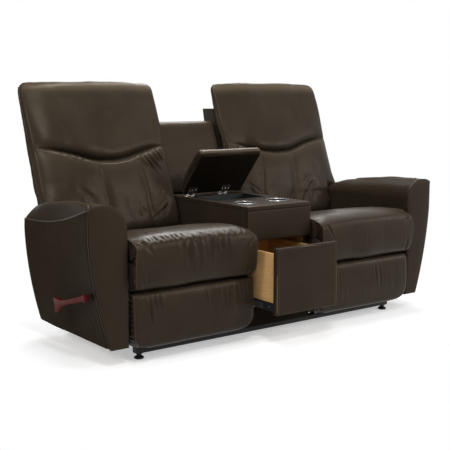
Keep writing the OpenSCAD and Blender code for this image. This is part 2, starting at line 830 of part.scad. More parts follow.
// Wooden handle, outside the arm, on the shaft's end
handle_x = arm_x1 - 24;
module handle(side) {
    l = handle_l;
    h = grip_h / 2;
    color(cherry) sided(side)
        difference() {
            across(handle_x, handle_t)
                translate(shaft_at) {
                    circle(r = 14);
                    rotate(-handle_a)
                        polygon([[0, 11], [0.57 * l, 9], [0.78 * l, 12], [0.94 * l, h - 3], [l, h],
                            [0.985 * l, 0], [l, -h], [0.94 * l, 3 - h], [0.78 * l, -11],
                            [0.57 * l, -9], [0, -11]]);
                }
            bar(handle_x - 1, handle_t + 2, shaft_at, shaft_r);
        }
}

// Console
side_x = console_x - side_t;
mid_lean = 0.378;
mid_top = mid_back_h - 28;
mid_rear_lean = 0.243;
function mid_front(z) = mid_back_y + mid_lean * (z - deck_z);
function mid_rear(z) = mid_front(mid_top) + mid_back_t + 40 - mid_rear_lean * (mid_top - z);
module console_sides() {
    y0 = apron_t + 0.5;
    z1 = deck_z - deck_t;
    color(hide) placed()
        for (m = [0, 1])
            mirror([m, 0, 0])
                across(side_x, side_t)
                    polygon([[y0, rail_top], [y0, z1], [mid_front(z1) + mid_back_t, z1],
                        [mid_front(mid_top) + mid_back_t, mid_top], [mid_rear(mid_top), mid_top],
                        [mid_rear(rail_top), rail_top]]);
}

module console_apron() {
    color(hide) placed()
        box([-console_x, 0, apron_z], [console_x, apron_t, deck_z - deck_t]);
}

module kick_panel() {
    color(hide_dark) placed()
        box([-console_x, 3, rail_top + 4], [console_x, apron_t, kick_z]);
}

lid_gap = 3;
lid_y0 = deck_d + lid_gap;
lid_axis = [lid_y0 + lid_l + 4, deck_z + 8];
bin_x = console_x - bin_edge;
bin_y0 = lid_y0 + 9;
bin_y1 = lid_y0 + lid_l - 48;
bin_rim = 6;
bin_rim_t = 1.2;
rim_r = cup_r + cup_wall + cup_rim;
cup_x = cup_pitch / 2;
module console_deck() {
    color(hide) placed()
        difference() {
            box([-console_x, 0, deck_z - deck_t], [console_x, mid_front(deck_z - deck_t) + 8, deck_z]);
            box([-bin_x, bin_y0, deck_z - deck_t - 1], [bin_x, bin_y1, deck_z + 1]);
            for (x = [-cup_x, cup_x])
                translate([x, cup_y, deck_z - deck_t - 1])
                    cylinder(h = deck_t + 2, r = cup_r + cup_wall + seat_play);
        }
}

// A cup holder: a drawn cup with a flat rim that lies on the deck
rim_t = 2;
module cup_holder(x) {
    color(chrome) placed()
        translate([x, cup_y, deck_z])
            rotate_extrude($fn = 96)
                polygon([[0, -cup_d], [cup_r + cup_wall, -cup_d], [cup_r + cup_wall, 0], [rim_r, 0],
                    [rim_r, rim_t], [cup_r, rim_t], [cup_r, -cup_d + cup_wall], [0, -cup_d + cup_wall]]);
}

module storage_bin() {
    g = seat_play;
    color(black) placed()
        difference() {
            union() {
                box([-bin_x + g, bin_y0 + g, deck_z - bin_d], [bin_x - g, bin_y1 - g, deck_z]);
                box([-bin_x - bin_rim, bin_y0 - bin_rim, deck_z],
                    [bin_x + bin_rim, bin_y1 + bin_rim, deck_z + bin_rim_t]);
            }
            box([-bin_x + g + bin_wall, bin_y0 + g + bin_wall, deck_z - bin_d + bin_wall],
                [bin_x - g - bin_wall, bin_y1 - g - bin_wall, deck_z + bin_rim_t + 1]);
        }
}

// Middle back: a padded front that rolls over its top
function mid_pad_ring(s) =
    let (e = pow(abs(s), 10), x = s * (console_x - 2), top = mid_back_h - 4 * e,
        swell = 8 * (1 - s * s) - 6 * e, z0 = deck_z + 1)
    [[x, mid_front(z0) + mid_back_t - 1, z0],
        [x, mid_front(mid_top) + mid_back_t - 1, mid_top + 1], [x, mid_rear(mid_top) - 2, mid_top + 1],
        [x, mid_rear(mid_top) - 2, top - 10], [x, mid_rear(mid_top) - 12, top],
        [x, mid_front(mid_top) + 22, top],
        for (k = [0:7]) let (z = mix(top - 7, z0 + 4, k / 7))
            [x, mid_front(z) + 6 - swell * sin(180 * mix(0.1, 1, k / 7)), z],
        [x, mid_front(z0) + 10, z0]];
module middle_back_pad() {
    color(hide) placed()
        loft([for (s = stations(8)) mid_pad_ring(s)]);
}

module middle_back_panel() {
    z0 = 120;
    z1 = mid_back_h - 12;
    color(hide_dark) placed()
        across(-console_x, 2 * console_x)
            polygon([[mid_rear(z0), z0], [mid_rear(z0) + 10, z0], [mid_rear(mid_top) + 10, z1],
                [mid_rear(mid_top), z1], [mid_rear(mid_top), mid_top]]);
}

// The lid's pieces are drawn shut and turned open about its hinge axis
module opened() {
    placed()
        translate([0, lid_axis[0], lid_axis[1]])
            rotate([-lid_open, 0, 0])
                translate([0, -lid_axis[0], -lid_axis[1]])
                    children();
}

lid_z = deck_z + 4;
lid_rear = lid_y0 + lid_l;
module lid_board() {
    color(black) opened()
        box([-console_x + 10, lid_y0 + 8, lid_z], [console_x - 10, lid_rear - 3, lid_z + lid_board_t]);
}

// One section of the lid's padding
function lid_ring(s) =
    let (e = pow(abs(s), 12), x = s * console_x, z0 = lid_z + lid_board_t + seat_play + 2 * e,
        top = lid_z + lid_board_t + lid_t - 5 * e, y0 = lid_y0 + 3 * e, y1 = lid_rear - 3 * e)
    [[x, y0 + 3, z0], [x, y0, z0 + 6], [x, y0, top - 10], [x, y0 + 3, top - 3],
        for (k = [1:5]) let (t = k / 6) [x, mix(y0, y1, t), top + 6 * (1 - s * s) * sin(180 * t)],
        [x, y1 - 3, top - 3], [x, y1, top - 10], [x, y1, z0 + 6], [x, y1 - 3, z0]];
module lid_pad() {
    color(hide) opened()
        loft([for (s = stations(8)) lid_ring(s)]);
}

hinge_l = 50;
leaf_t = 2;
leaf_l = 40;
module lid_hinges_fixed() {
    color(chrome) placed()
        for (x = [lid_hinge_left, lid_hinge_right])
            difference() {
                union() {
                    box([x - hinge_l / 2, lid_axis[0] + knuckle_r, deck_z],
                        [x + hinge_l / 2, lid_axis[0] + 26, deck_z + leaf_t]);
                    for (m = [0, 1])
                        translate([x, 0, 0]) mirror([m, 0, 0]) {
                            bar(hinge_l / 6 + 0.3, hinge_l / 3 - 0.3, lid_axis, knuckle_r);
                            box([hinge_l / 6 + 0.3, lid_axis[0], deck_z],
                                [hinge_l / 2, lid_axis[0] + knuckle_r + 1, lid_axis[1] - 1]);
                        }
                }
                bar(x - hinge_l, 2 * hinge_l, lid_axis, lid_pin_r + pin_gap);
            }
}

module lid_hinges_moving() {
    color(chrome) opened()
        for (x = [lid_hinge_left, lid_hinge_right]) {
            bar(x - hinge_l / 6, hinge_l / 3, lid_axis, knuckle_r);
            bar(x - hinge_l / 2 - 1, hinge_l + 2, lid_axis, lid_pin_r);
            box([x - hinge_l / 6, lid_rear - 3, lid_z - leaf_t], [x + hinge_l / 6, lid_axis[0], lid_z + 1]);
            box([x - hinge_l / 2, lid_rear - leaf_l, lid_z - leaf_t], [x + hinge_l / 2, lid_rear - 3, lid_z]);
        }
}

// Drawer, standing open by drawer_out
drawer_x = side_x - slide_room;
box_y0 = drawer_y + drawer_front_t;
box_z = drawer_z + drawer_rise;
module drawer_front() {
    color(hide) placed()
        box([-console_x + drawer_gap, drawer_y, drawer_z],
            [console_x - drawer_gap, box_y0, apron_z - drawer_gap]);
}

module drawer_box() {
    w = drawer_wall;
    color(birch) placed()
        difference() {
            box([-drawer_x, box_y0, box_z], [drawer_x, box_y0 + drawer_l, box_z + drawer_h]);
            box([w - drawer_x, box_y0 + w, box_z + w],
                [drawer_x - w, box_y0 + drawer_l - w, box_z + drawer_h + 1]);
        }
}

// Telescoping slides: a channel on the console, a middle bar, and a flanged bar under the drawer
slide_z = box_z - slide_h;
flange_w = 20;
flange_t = 2;
slide_y0 = apron_t + 2;
fixed_x = side_x - 5;
middle_x = fixed_x - 4;
middle_t = 3.6;
module slides_fixed() {
    color(steel) placed()
        for (m = [0, 1])
            mirror([m, 0, 0])
                box([fixed_x, slide_y0, slide_z], [side_x, slide_y0 + drawer_l, slide_z + slide_h]);
}

module slides_middle() {
    y0 = slide_y0 - drawer_out / 2;
    color(chrome) placed()
        for (m = [0, 1])
            mirror([m, 0, 0])
                box([middle_x, y0, slide_z + 6], [middle_x + middle_t, y0 + drawer_l, slide_z + slide_h - 6]);
}

module slides_drawer() {
    y0 = box_y0 + 4;
    color(steel) placed()
        for (m = [0, 1])
            mirror([m, 0, 0]) {
                box([drawer_x, y0, slide_z + 3], [middle_x - 0.4, y0 + drawer_l - 8, box_z]);
                box([drawer_x - flange_w, y0, box_z - flange_t], [drawer_x + 1, y0 + drawer_l - 8, box_z]);
            }
}

base_rails();
mechanism_rails();
floor_glides();
mechanism_side_plates();
console_sides();
console_apron();
kick_panel();
console_deck();
cup_holder(-cup_x);  // cup_holder_left
cup_holder(cup_x);  // cup_holder_right
storage_bin();
middle_back_pad();
middle_back_panel();
lid_board();
lid_pad();
lid_hinges_fixed();
lid_hinges_moving();
drawer_front();
drawer_box();
slides_fixed();
slides_middle();
slides_drawer();
arm_front(-1);  // arm_front_left
arm_front(1);  // arm_front_right
arm_cover(-1);  // arm_cover_left
arm_cover(1);  // arm_cover_right
arm_frame(-1);  // arm_frame_left
arm_frame(1);  // arm_frame_right
arm_pad(-1);  // arm_pad_left
arm_pad(1);  // arm_pad_right
handle(-1);  // handle_left
handle(1);  // handle_right
torque_shaft(-1);  // torque_shaft_left
torque_shaft(1);  // torque_shaft_right
drive_rods(-1);  // drive_rods_left
drive_rods(1);  // drive_rods_right
rear_links(-1);  // rear_links_left
rear_links(1);  // rear_links_right
front_links(-1);  // front_links_left
front_links(1);  // front_links_right
footrest_brackets(-1);  // footrest_brackets_left
footrest_brackets(1);  // footrest_brackets_right
footrest_board(-1);  // footrest_board_left
footrest_board(1);  // footrest_board_right
footrest_pad(-1);  // footrest_pad_left
footrest_pad(1);  // footrest_pad_right
seat_frame(-1);  // seat_frame_left
seat_frame(1);  // seat_frame_right
seat_springs(-1);  // seat_springs_left
seat_springs(1);  // seat_springs_right
seat_brackets(-1);  // seat_brackets_left
seat_brackets(1);  // seat_brackets_right
seat_cushion(-1);  // seat_cushion_left
seat_cushion(1);  // seat_cushion_right
back_frame(-1);  // back_frame_left
back_frame(1);  // back_frame_right
back_shell(-1);  // back_shell_left
back_shell(1);  // back_shell_right
back_pad(-1);  // back_pad_left
back_pad(1);  // back_pad_right
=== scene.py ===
"""Studio look of a reclining loveseat with a middle console.

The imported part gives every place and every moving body. New pieces are numpy surfaces: each is worked
out for the right-hand side, x being the distance from the loveseat's middle, y the depth behind the
console's front face and z the height above the floor, all in metres, and is mirrored for the left.
"""

import json
import math

import bmesh
import bpy
import numpy as np
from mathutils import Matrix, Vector


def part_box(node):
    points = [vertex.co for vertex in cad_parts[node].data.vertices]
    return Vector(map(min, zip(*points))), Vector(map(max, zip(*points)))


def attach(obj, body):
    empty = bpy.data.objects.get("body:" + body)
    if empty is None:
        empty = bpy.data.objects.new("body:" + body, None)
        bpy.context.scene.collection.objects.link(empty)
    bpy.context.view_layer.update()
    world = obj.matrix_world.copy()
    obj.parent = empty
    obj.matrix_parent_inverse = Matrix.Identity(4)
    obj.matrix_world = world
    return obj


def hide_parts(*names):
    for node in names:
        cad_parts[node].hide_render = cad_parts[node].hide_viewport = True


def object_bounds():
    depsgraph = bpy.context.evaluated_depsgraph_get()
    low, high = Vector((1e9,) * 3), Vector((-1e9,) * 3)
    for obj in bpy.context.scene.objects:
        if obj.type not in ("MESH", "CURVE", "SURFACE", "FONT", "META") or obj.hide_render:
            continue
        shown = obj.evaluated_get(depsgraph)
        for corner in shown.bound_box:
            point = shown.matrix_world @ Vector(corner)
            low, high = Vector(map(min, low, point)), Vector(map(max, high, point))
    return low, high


bl_info = {
    "name": "Reclining Loveseat",
    "version": (1, 0, 0),
    "blender": (4, 5, 0),
    "location": "3D View > Sidebar > Loveseat",
    "description": "Upholstery, console, drawer and metalwork of a reclining loveseat",
    "category": "Add Mesh",
}

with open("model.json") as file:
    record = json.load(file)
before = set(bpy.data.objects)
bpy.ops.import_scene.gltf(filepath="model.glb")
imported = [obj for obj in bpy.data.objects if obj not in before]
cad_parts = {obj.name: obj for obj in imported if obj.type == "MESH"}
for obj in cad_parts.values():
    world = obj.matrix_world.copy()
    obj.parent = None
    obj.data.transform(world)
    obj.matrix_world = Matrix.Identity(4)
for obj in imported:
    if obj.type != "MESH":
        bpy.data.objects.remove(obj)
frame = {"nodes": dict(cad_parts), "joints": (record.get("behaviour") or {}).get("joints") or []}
cad_low, cad_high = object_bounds()
sides = {"left": -1, "right": 1}


def near(node):
    """Lowest corner of a node in working places."""
    return np.array(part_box(node)[0]) - [0, front, 0]


def far(node):
    """Highest corner of a node in working places."""
    return np.array(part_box(node)[1]) - [0, front, 0]


def joint(name):
    """A joint's row in the frame."""
    return next(j for j in frame["joints"] if j["name"] == name)


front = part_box("console_apron")[0].y
console_x = far("console_apron")[0]
apron_low = near("console_apron")[2]
deck_top = far("console_deck")[2]
seat_near, seat_far = near("seat_cushion_right"), far("seat_cushion_right")
back_far = far("back_pad_right")
foot_near, foot_far = near("footrest_pad_right"), far("footrest_pad_right")
arm_near, arm_far = near("arm_front_right"), far("arm_front_right")
shaft = np.array(joint("right_handle")["pos_m"]) - [0, front, 0]


class LoveseatSizes(bpy.types.PropertyGroup):
    """Sizes of the upholstery's soft details."""

    welt: bpy.props.FloatProperty(
        name="Welt", description="Radius of the welts along the seams", default=0.0026, unit="LENGTH")
    corner: bpy.props.FloatProperty(
        name="Cushion corner", description="Radius of a cushion's side corners", default=0.022, unit="LENGTH")
    crown: bpy.props.FloatProperty(
        name="Seat crown", description="Rise of a seat cushion in its middle", default=0.007, unit="LENGTH")
    head_puff: bpy.props.FloatProperty(
        name="Head puff", description="Swell of the back's head section", default=0.019, unit="LENGTH")
    lumbar_puff: bpy.props.FloatProperty(
        name="Lumbar puff", description="Swell of the back's lower section", default=0.024, unit="LENGTH")
    crease: bpy.props.FloatProperty(
        name="Crease", description="Depth of the fold across the back", default=0.026, unit="LENGTH")
    fold: bpy.props.FloatProperty(
        name="Folds", description="Strength of the folds in the leather", default=1.0)
    stitch: bpy.props.FloatProperty(
        name="Stitch", description="Length of one stitch", default=0.007, unit="LENGTH")


class LoveseatColours(bpy.types.PropertyGroup):
    """Colours of the loveseat's materials."""

    leather: bpy.props.FloatVectorProperty(
        name="Leather", description="Colour of the leather", subtype="COLOR", size=3,
        default=(0.0245, 0.0172, 0.0112))
    # lighter leather for rubbed edges, also painted on as highlights on the backs, the arms' crests and the
    # lid's edge
    leather_rubbed_and_highlight: bpy.props.FloatVectorProperty(
        name="Leather on edges", description="Colour of rubbed leather", subtype="COLOR", size=3,
        default=(0.080, 0.059, 0.038))
    birch: bpy.props.FloatVectorProperty(
        name="Birch", description="Colour of the drawer box", subtype="COLOR", size=3,
        default=(0.55, 0.325, 0.135))
    plywood: bpy.props.FloatVectorProperty(
        name="Plywood", description="Colour of the frames", subtype="COLOR", size=3,
        default=(0.42, 0.27, 0.14))
    cherry: bpy.props.FloatVectorProperty(
        name="Handle", description="Colour of the handle's stained wood", subtype="COLOR", size=3,
        default=(0.085, 0.011, 0.010))
    steel: bpy.props.FloatVectorProperty(
        name="Mechanism", description="Colour of the painted steel", subtype="COLOR", size=3,
        default=(0.055, 0.058, 0.062))


# Numbers and fields

def smooth(t):
    """3 t^2 - 2 t^3 for t from 0 to 1, and constant beyond."""
    t = np.clip(t, 0, 1)
    return t * t * (3 - 2 * t)


def bump(x, middle, width):
    """exp(-((x - middle) / width)^2)."""
    return np.exp(-((x - middle) / width) ** 2)


def mix(a, b, t):
    """a at t = 0, b at t = 1, and a straight line between."""
    return a + (b - a) * t


def noise(u, v, seed):
    """Smooth value noise from -1 to 1: random values on a lattice, blended by smooth steps."""
    table = np.random.default_rng(seed).uniform(-1, 1, (61, 61))
    iu, iv = np.floor(u).astype(int), np.floor(v).astype(int)
    fu, fv = smooth(u - iu), smooth(v - iv)
    corner = lambda i, j: table[(iu + i) % 61, (iv + j) % 61]
    return mix(mix(corner(0, 0), corner(1, 0), fu), mix(corner(0, 1), corner(1, 1), fu), fv)


def folds(a, b, lines):
    """Sum of folds in the leather. A line (a0, b0, a1, b1, width, depth) is a groove with a soft ridge on
    each side, exp(-q^2) of the distance across over the width, fading to its ends as a half sine does."""
    total = np.zeros(np.broadcast(a, b).shape)
    for a0, b0, a1, b1, width, depth in lines:
        length = math.hypot(a1 - a0, b1 - b0)
        ca, cb = (a1 - a0) / length, (b1 - b0) / length
        along = ((a - a0) * ca + (b - b0) * cb) / length
        across = (-(a - a0) * cb + (b - b0) * ca + 0.25 * width * np.sin(5 * along + 90 * a0)) / width
        fade = np.where((along > 0) & (along < 1), np.sin(np.pi * np.clip(along, 0, 1)) ** 0.8, 0)
        total += depth * fade * (0.55 * bump(np.abs(across), 1.7, 0.9) - bump(across, 0, 1))
    return total


def fan(rng, count, at, spread, angle, wobble, length, width, depth):
    """Random fold lines that start about a place and run in about one direction."""
    lines = []
    for _ in range(count):
        a0 = at[0] + rng.uniform(-spread[0], spread[0])
        b0 = at[1] + rng.uniform(-spread[1], spread[1])
        turn = math.radians(angle + rng.uniform(-wobble, wobble))
        far_off = length * rng.uniform(0.55, 1.3)
        lines.append((a0, b0, a0 + far_off * math.cos(turn), b0 + far_off * math.sin(turn),
                      width * rng.uniform(0.7, 1.4), depth * rng.uniform(0.5, 1.3)))
    return lines


# Outlines

def rounded(points, times=3, closed=True):
    """Corner cutting: each pass puts points at 1/4 and 3/4 of every edge."""
    p = np.array(points, float)
    for _ in range(times):
        q = np.roll(p, -1, axis=0) if closed else p[1:]
        a = p if closed else p[:-1]
        cut = np.stack([0.75 * a + 0.25 * q, 0.25 * a + 0.75 * q], axis=1).reshape(-1, p.shape[1])
        p = cut if closed else np.vstack([p[:1], cut, p[-1:]])
    return p


def spaced(points, count, closed=True):
    """Points at equal distances along a line, and their distances from its start."""
    p = np.vstack([points, points[:1]]) if closed else np.array(points, float)
    run = np.concatenate([[0], np.cumsum(np.linalg.norm(np.diff(p, axis=0), axis=1))])
    at = np.linspace(0, run[-1], count + 1)[:-1] if closed else np.linspace(0, run[-1], count)
    return np.stack([np.interp(at, run, p[:, k]) for k in range(p.shape[1])], axis=1), at


def evened(points, times, count):
    """An open line with its corners cut, in even steps."""
    return spaced(rounded(points, times, closed=False), count, closed=False)[0]


def points_at(x, y, z):
    """Places from three coordinates, each an array or one number for all."""
    return np.stack(np.broadcast_arrays(x, y, z), axis=-1)


def outward(profile):
    """Unit normals of a closed outline that runs clockwise in (depth, height)."""
    along = np.roll(profile, -1, axis=0) - np.roll(profile, 1, axis=0)
    along /= np.linalg.norm(along, axis=1)[:, None]
    side = np.stack([-along[:, 1], along[:, 0]], axis=1)
    middle = profile.mean(axis=0)
    return side if np.sum((profile - middle) * side) > 0 else -side


# Meshes

def make_object(name, points, faces, uvs=None, smooth_shade=True, closed=True):
    """Puts arrays into a mesh, in the row frame. uvs holds one pair for each corner of each face. A closed
    mesh whose volume comes out negative, summed over its triangles' corners, is turned inside out."""
    points = np.array(points, float).reshape(-1, 3) + [0, front, 0]
    mesh = bpy.data.meshes.new(name)
    mesh.from_pydata(points.tolist(), [], [list(f) for f in faces])
    if uvs is not None:
        layer = mesh.uv_layers.new(name="UVMap")
        layer.data.foreach_set("uv", np.concatenate(uvs).astype(np.float32).ravel())
    if closed:
        mesh.calc_loop_triangles()
        corners = np.zeros(len(mesh.loop_triangles) * 3, int)
        mesh.loop_triangles.foreach_get("vertices", corners)
        a, b, c = (points - points.mean(axis=0))[corners.reshape(-1, 3)].transpose(1, 0, 2)
        if np.sum(a * np.cross(b, c)) < 0:
            mesh.flip_normals()
    if smooth_shade:
        mesh.polygons.foreach_set("use_smooth", np.ones(len(mesh.polygons), bool))
    mesh.update()
    made = bpy.data.objects.new(name, mesh)
    bpy.context.scene.collection.objects.link(made)
    return made


def grid_faces(rows, columns, wrap):
    """Quads between neighbouring rows of a grid whose columns may close on themselves."""
    i, j = np.meshgrid(np.arange(rows - 1), np.arange(columns if wrap else columns - 1), indexing="ij")
    k = (j + 1) % columns
    quads = np.stack([i * columns + j, i * columns + k, (i + 1) * columns + k, (i + 1) * columns + j], -1)
    return quads.reshape(-1, 4)


def closed_faces(copies, rows, columns):
    """Faces of copies of one grid that closes on itself: its quads, and a face over each end."""
    faces = []
    for k in range(copies):
        start = k * rows * columns
        faces += (grid_faces(rows, columns, True) + start).tolist()
        faces.append([start + c for c in range(columns)][::-1])
        faces.append([start + (rows - 1) * columns + c for c in range(columns)])
    return faces


def surface(name, grid, side=1):
    """A closed mesh through the rings of a grid of points, mirrored for the left side, with a face over each
    end. Its UV runs in metres along the grid."""
    grid = np.array(grid, float)
    rows, columns = grid.shape[:2]
    run_u = np.concatenate([[0], np.cumsum(np.linalg.norm(np.diff(grid, axis=0), axis=2).mean(axis=1))])
    across = np.diff(np.concatenate([grid, grid[:, :1]], axis=1), axis=1)
    run_v = np.concatenate([[0], np.cumsum(np.linalg.norm(across, axis=2).mean(axis=0))])
    i, j = np.meshgrid(np.arange(rows - 1), np.arange(columns), indexing="ij")
    corners = [(i, j), (i, j + 1), (i + 1, j + 1), (i + 1, j)]
    uvs = list(np.stack([np.stack([run_u[a], run_v[b]], -1) for a, b in corners], axis=2).reshape(-1, 4, 2))
    uvs += [np.zeros((columns, 2))] * 2
    return make_object(name, grid.reshape(-1, 3) * [side, 1, 1], closed_faces(1, rows, columns), uvs)


def grid_normals(grid):
    """Unit normals of closed rings by central differences, turned away from the grid's middle."""
    n = np.cross(np.gradient(grid, axis=0), np.roll(grid, -1, axis=1) - np.roll(grid, 1, axis=1))
    n /= np.maximum(np.linalg.norm(n, axis=2), 1e-12)[:, :, None]
    return n if np.sum(n * (grid - grid.mean(axis=1)[:, None])) > 0 else -n


def cushion_grid(profile, x_of, columns, corner, spine, side_swell, turns=6):
    """Rings of a closed outline in (depth, height), carried along x.

    At corner * (1 - sin a) from either end a ring is inset along its normals by corner * (1 - cos a), which
    is a quarter circle. Each end is closed by rings that shrink onto a spine by a share k, and swell outwards
    by side_swell * sin(pi k / 2). Gives the grid, the place s of each ring from -1 to 1, and its share k."""
    normal = outward(profile)
    angles = np.radians(np.linspace(0, 90, turns))
    width = np.mean(np.abs(x_of(1.0, profile[:, 1]) - x_of(-1.0, profile[:, 1])))
    edge = 2 * corner / width
    round_s = 1 - edge * (1 - np.sin(angles))
    middle_s = np.linspace(-round_s[0], round_s[0], columns)
    stations = np.concatenate([-round_s[:0:-1], middle_s, round_s[1:]])
    reach = np.clip((np.abs(stations) - (1 - edge)) / edge, 0, 1)
    inset = corner * (1 - np.sqrt(np.clip(1 - reach ** 2, 0, 1)))
    a, b = np.array(spine[0], float), np.array(spine[1], float)
    share = np.clip((profile - a) @ (b - a) / ((b - a) @ (b - a)), 0, 1)
    onto = a + share[:, None] * (b - a)
    base = profile - normal * corner
    steps = np.linspace(0, 0.96, 12)[1:]

    def ring(s, flat, swell=0.0):
        return points_at(x_of(s, flat[:, 1]) + swell, flat[:, 0], flat[:, 1])

    low_end, high_end = ([ring(end, mix(base, onto, k), side_swell * math.sin(0.5 * math.pi * k) * end)
                          for k in steps] for end in (-1, 1))
    rings = low_end[::-1] + [ring(s, profile - normal * d) for s, d in zip(stations, inset)] + high_end
    ones = np.ones(len(steps))
    return (np.array(rings), np.concatenate([-ones, stations, ones]),
            np.concatenate([steps[::-1], np.zeros(len(stations)), steps]))


def across_path(path, steep):
    """Unit direction of a path at each place, and two unit vectors across it. The first of them is level, or
    square to the depth where the direction's upward part is over steep."""
    along = np.gradient(path, axis=0)
    along /= np.maximum(np.linalg.norm(along, axis=1), 1e-12)[:, None]
    up = np.where(np.abs(along[:, 2:]) > steep, [[0.0, 1.0, 0.0]], [[0.0, 0.0, 1.0]])
    one = np.cross(along, up)
    one /= np.linalg.norm(one, axis=1)[:, None]
    return along, one, np.cross(one, along)


def tube(name, path, radius, side=1, around=8):
    """A round section carried along a path: path + radius * (cos a * one + sin a * two)."""
    _, one, two = across_path(path, 0.95)
    turn = np.linspace(0, 2 * np.pi, around, endpoint=False)
    grid = path[:, None] + radius * (np.cos(turn)[None, :, None] * one[:, None]
                                     + np.sin(turn)[None, :, None] * two[:, None])
    return surface(name, grid, side)


def lathe(name, profile, places, axis="z", around=32, side=1):
    """Copies of one turned shape: pairs of radius r and height h along the axis, as (r cos a, r sin a, h) for
    z and (h, r cos a, r sin a) for x, at each place."""
    profile = np.array(profile, float)
    turn = np.linspace(0, 2 * np.pi, around, endpoint=False)
    r, h = profile[:, 0][:, None], np.repeat(profile[:, 1][:, None], around, axis=1)
    c, s = r * np.cos(turn), r * np.sin(turn)
    shape = np.stack((h, c, s) if axis == "x" else (c, s, h), -1).reshape(-1, 3)
    points = np.concatenate([shape + np.array(place) for place in places])
    return make_object(name, points * [side, 1, 1], closed_faces(len(places), len(profile), around))


def stitches(name, path, length, side=1, thread=0.0007):
    """Short raised stitches along a path: six-sided spindles with gaps of half their length."""
    count = max(2, int(np.linalg.norm(np.diff(path, axis=0), axis=1).sum() / (1.5 * length)))
    middles, _ = spaced(path, count, closed=False)
    along, one, two = across_path(middles, 0.9)
    turn = np.linspace(0, 2 * np.pi, 6, endpoint=False)
    steps = np.array([-0.5, -0.42, 0.42, 0.5])
    girth = np.array([0.35, 1, 1, 0.35])
    ring = np.cos(turn)[:, None] * one[:, None, None] + np.sin(turn)[:, None] * two[:, None, None]
    points = (middles[:, None, None] + (steps * length)[None, :, None, None] * along[:, None, None]
              + thread * girth[None, :, None, None] * ring)
    return make_object(name, points.reshape(-1, 3) * [side, 1, 1], closed_faces(count, len(steps), len(turn)))


def panel(name, lines, to_place, thickness, radius, crown, side=1):
    """A padded panel over an outline. lines(u, v) gives the place in its plane for u and v from 0 to 1,
    and to_place(a, b, depth) its place in space, depth running into the panel. Near the outline the face
    drops as a quarter circle of the radius, and over the whole it rises by crown * (1 - (2u - 1)^4) *
    (1 - (2v - 1)^4)."""
    def stations(size):
        near_edge = radius * (1 - np.cos(np.radians([0, 25, 45, 65, 90]))) / size
        return np.concatenate([near_edge[:-1], np.linspace(near_edge[-1], 1 - near_edge[-1], 40),
                               1 - near_edge[:-1][::-1]])
    corner = [np.array(lines(np.array(u), np.array(v))) for u, v in ((0, 0), (1, 0), (0, 1))]
    wide = max(np.linalg.norm(corner[1] - corner[0]), 4 * radius)
    high = max(np.linalg.norm(corner[2] - corner[0]), 4 * radius)
    u, v = np.meshgrid(stations(wide), stations(high), indexing="ij")
    a, b = lines(u, v)
    edge = np.minimum(np.minimum(u, 1 - u) * wide, np.minimum(v, 1 - v) * high)
    drop = radius - np.sqrt(np.clip(radius ** 2 - (radius - np.minimum(edge, radius)) ** 2, 0, None))
    rise = crown * (1 - (2 * u - 1) ** 4) * (1 - (2 * v - 1) ** 4)
    face = np.stack(to_place(a, b, drop - rise), axis=-1)
    rows, columns = face.shape[:2]
    loop = ([(0, j) for j in range(columns)] + [(i, columns - 1) for i in range(1, rows)]
            + [(rows - 1, j) for j in range(columns - 2, -1, -1)] + [(i, 0) for i in range(rows - 2, 0, -1)])
    border = np.array([i * columns + j for i, j in loop])
    flat = np.array([(a[i, j], b[i, j]) for i, j in loop])
    back = np.stack(to_place(flat[:, 0], flat[:, 1], np.full(len(flat), thickness)), axis=-1)
    points = np.concatenate([face.reshape(-1, 3), back])
    start = rows * columns
    n = len(border)
    faces = grid_faces(rows, columns, False).tolist()
    faces += [[border[k], start + k, start + (k + 1) % n, border[(k + 1) % n]] for k in range(n)]
    faces.append([start + k for k in range(n)])
    return recalculated(make_object(name, points * [side, 1, 1], faces, closed=False))


def recalculated(made):
    """Turns all faces of a closed mesh outwards."""
    b = bmesh.new()
    b.from_mesh(made.data)
    bmesh.ops.remove_doubles(b, verts=b.verts, dist=1e-6)
    bmesh.ops.recalc_face_normals(b, faces=b.faces)
    b.to_mesh(made.data)
    b.free()
    made.data.update()
    return made


def softened(node, width, segments=3):
    """A copy of a packed board or plate with its flat faces joined and its edges rounded."""
    made = bpy.data.objects.new(node + "_rounded", frame["nodes"][node].data.copy())
    bpy.context.scene.collection.objects.link(made)
    made.data.materials.clear()
    b = bmesh.new()
    b.from_mesh(made.data)
    bmesh.ops.remove_doubles(b, verts=b.verts, dist=1e-5)
    bmesh.ops.dissolve_limit(b, angle_limit=math.radians(1), verts=b.verts, edges=b.edges)
    bmesh.ops.recalc_face_normals(b, faces=b.faces)
    b.to_mesh(made.data)
    b.free()
    bevel = made.modifiers.new("Bevel", "BEVEL")
    bevel.width = width
    bevel.segments = segments
    bevel.limit_method = "ANGLE"
    bevel.angle_limit = math.radians(35)
    bevel.harden_normals = True
    made.data.polygons.foreach_set("use_smooth", np.ones(len(made.data.polygons), bool))
    return made


def settle(piece, body, material, replaces=()):
    """Gives a finished piece its material, its body and what it stands for."""
    piece.data.materials.clear()
    piece.data.materials.append(materials[material])
    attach(piece, body)
    if replaces:
        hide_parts(*replaces)


def welt(name, path, radius, body, material="leather_welt", slot="leather", side=1):
    """A tube along a sewn edge."""
    settle(tube(name, path, radius, side), body, material)


def rounded_board(node, width, body, material, segments=3):
    """A packed board or plate, softened, in its own place."""
    settle(softened(node, width, segments), body, material, [node])


def paint(material, *nodes):
    """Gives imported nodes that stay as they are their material."""
    for node in nodes:
        frame["nodes"][node].data.materials.clear()
        frame["nodes"][node].data.materials.append(materials[material])


# Materials

materials = {}


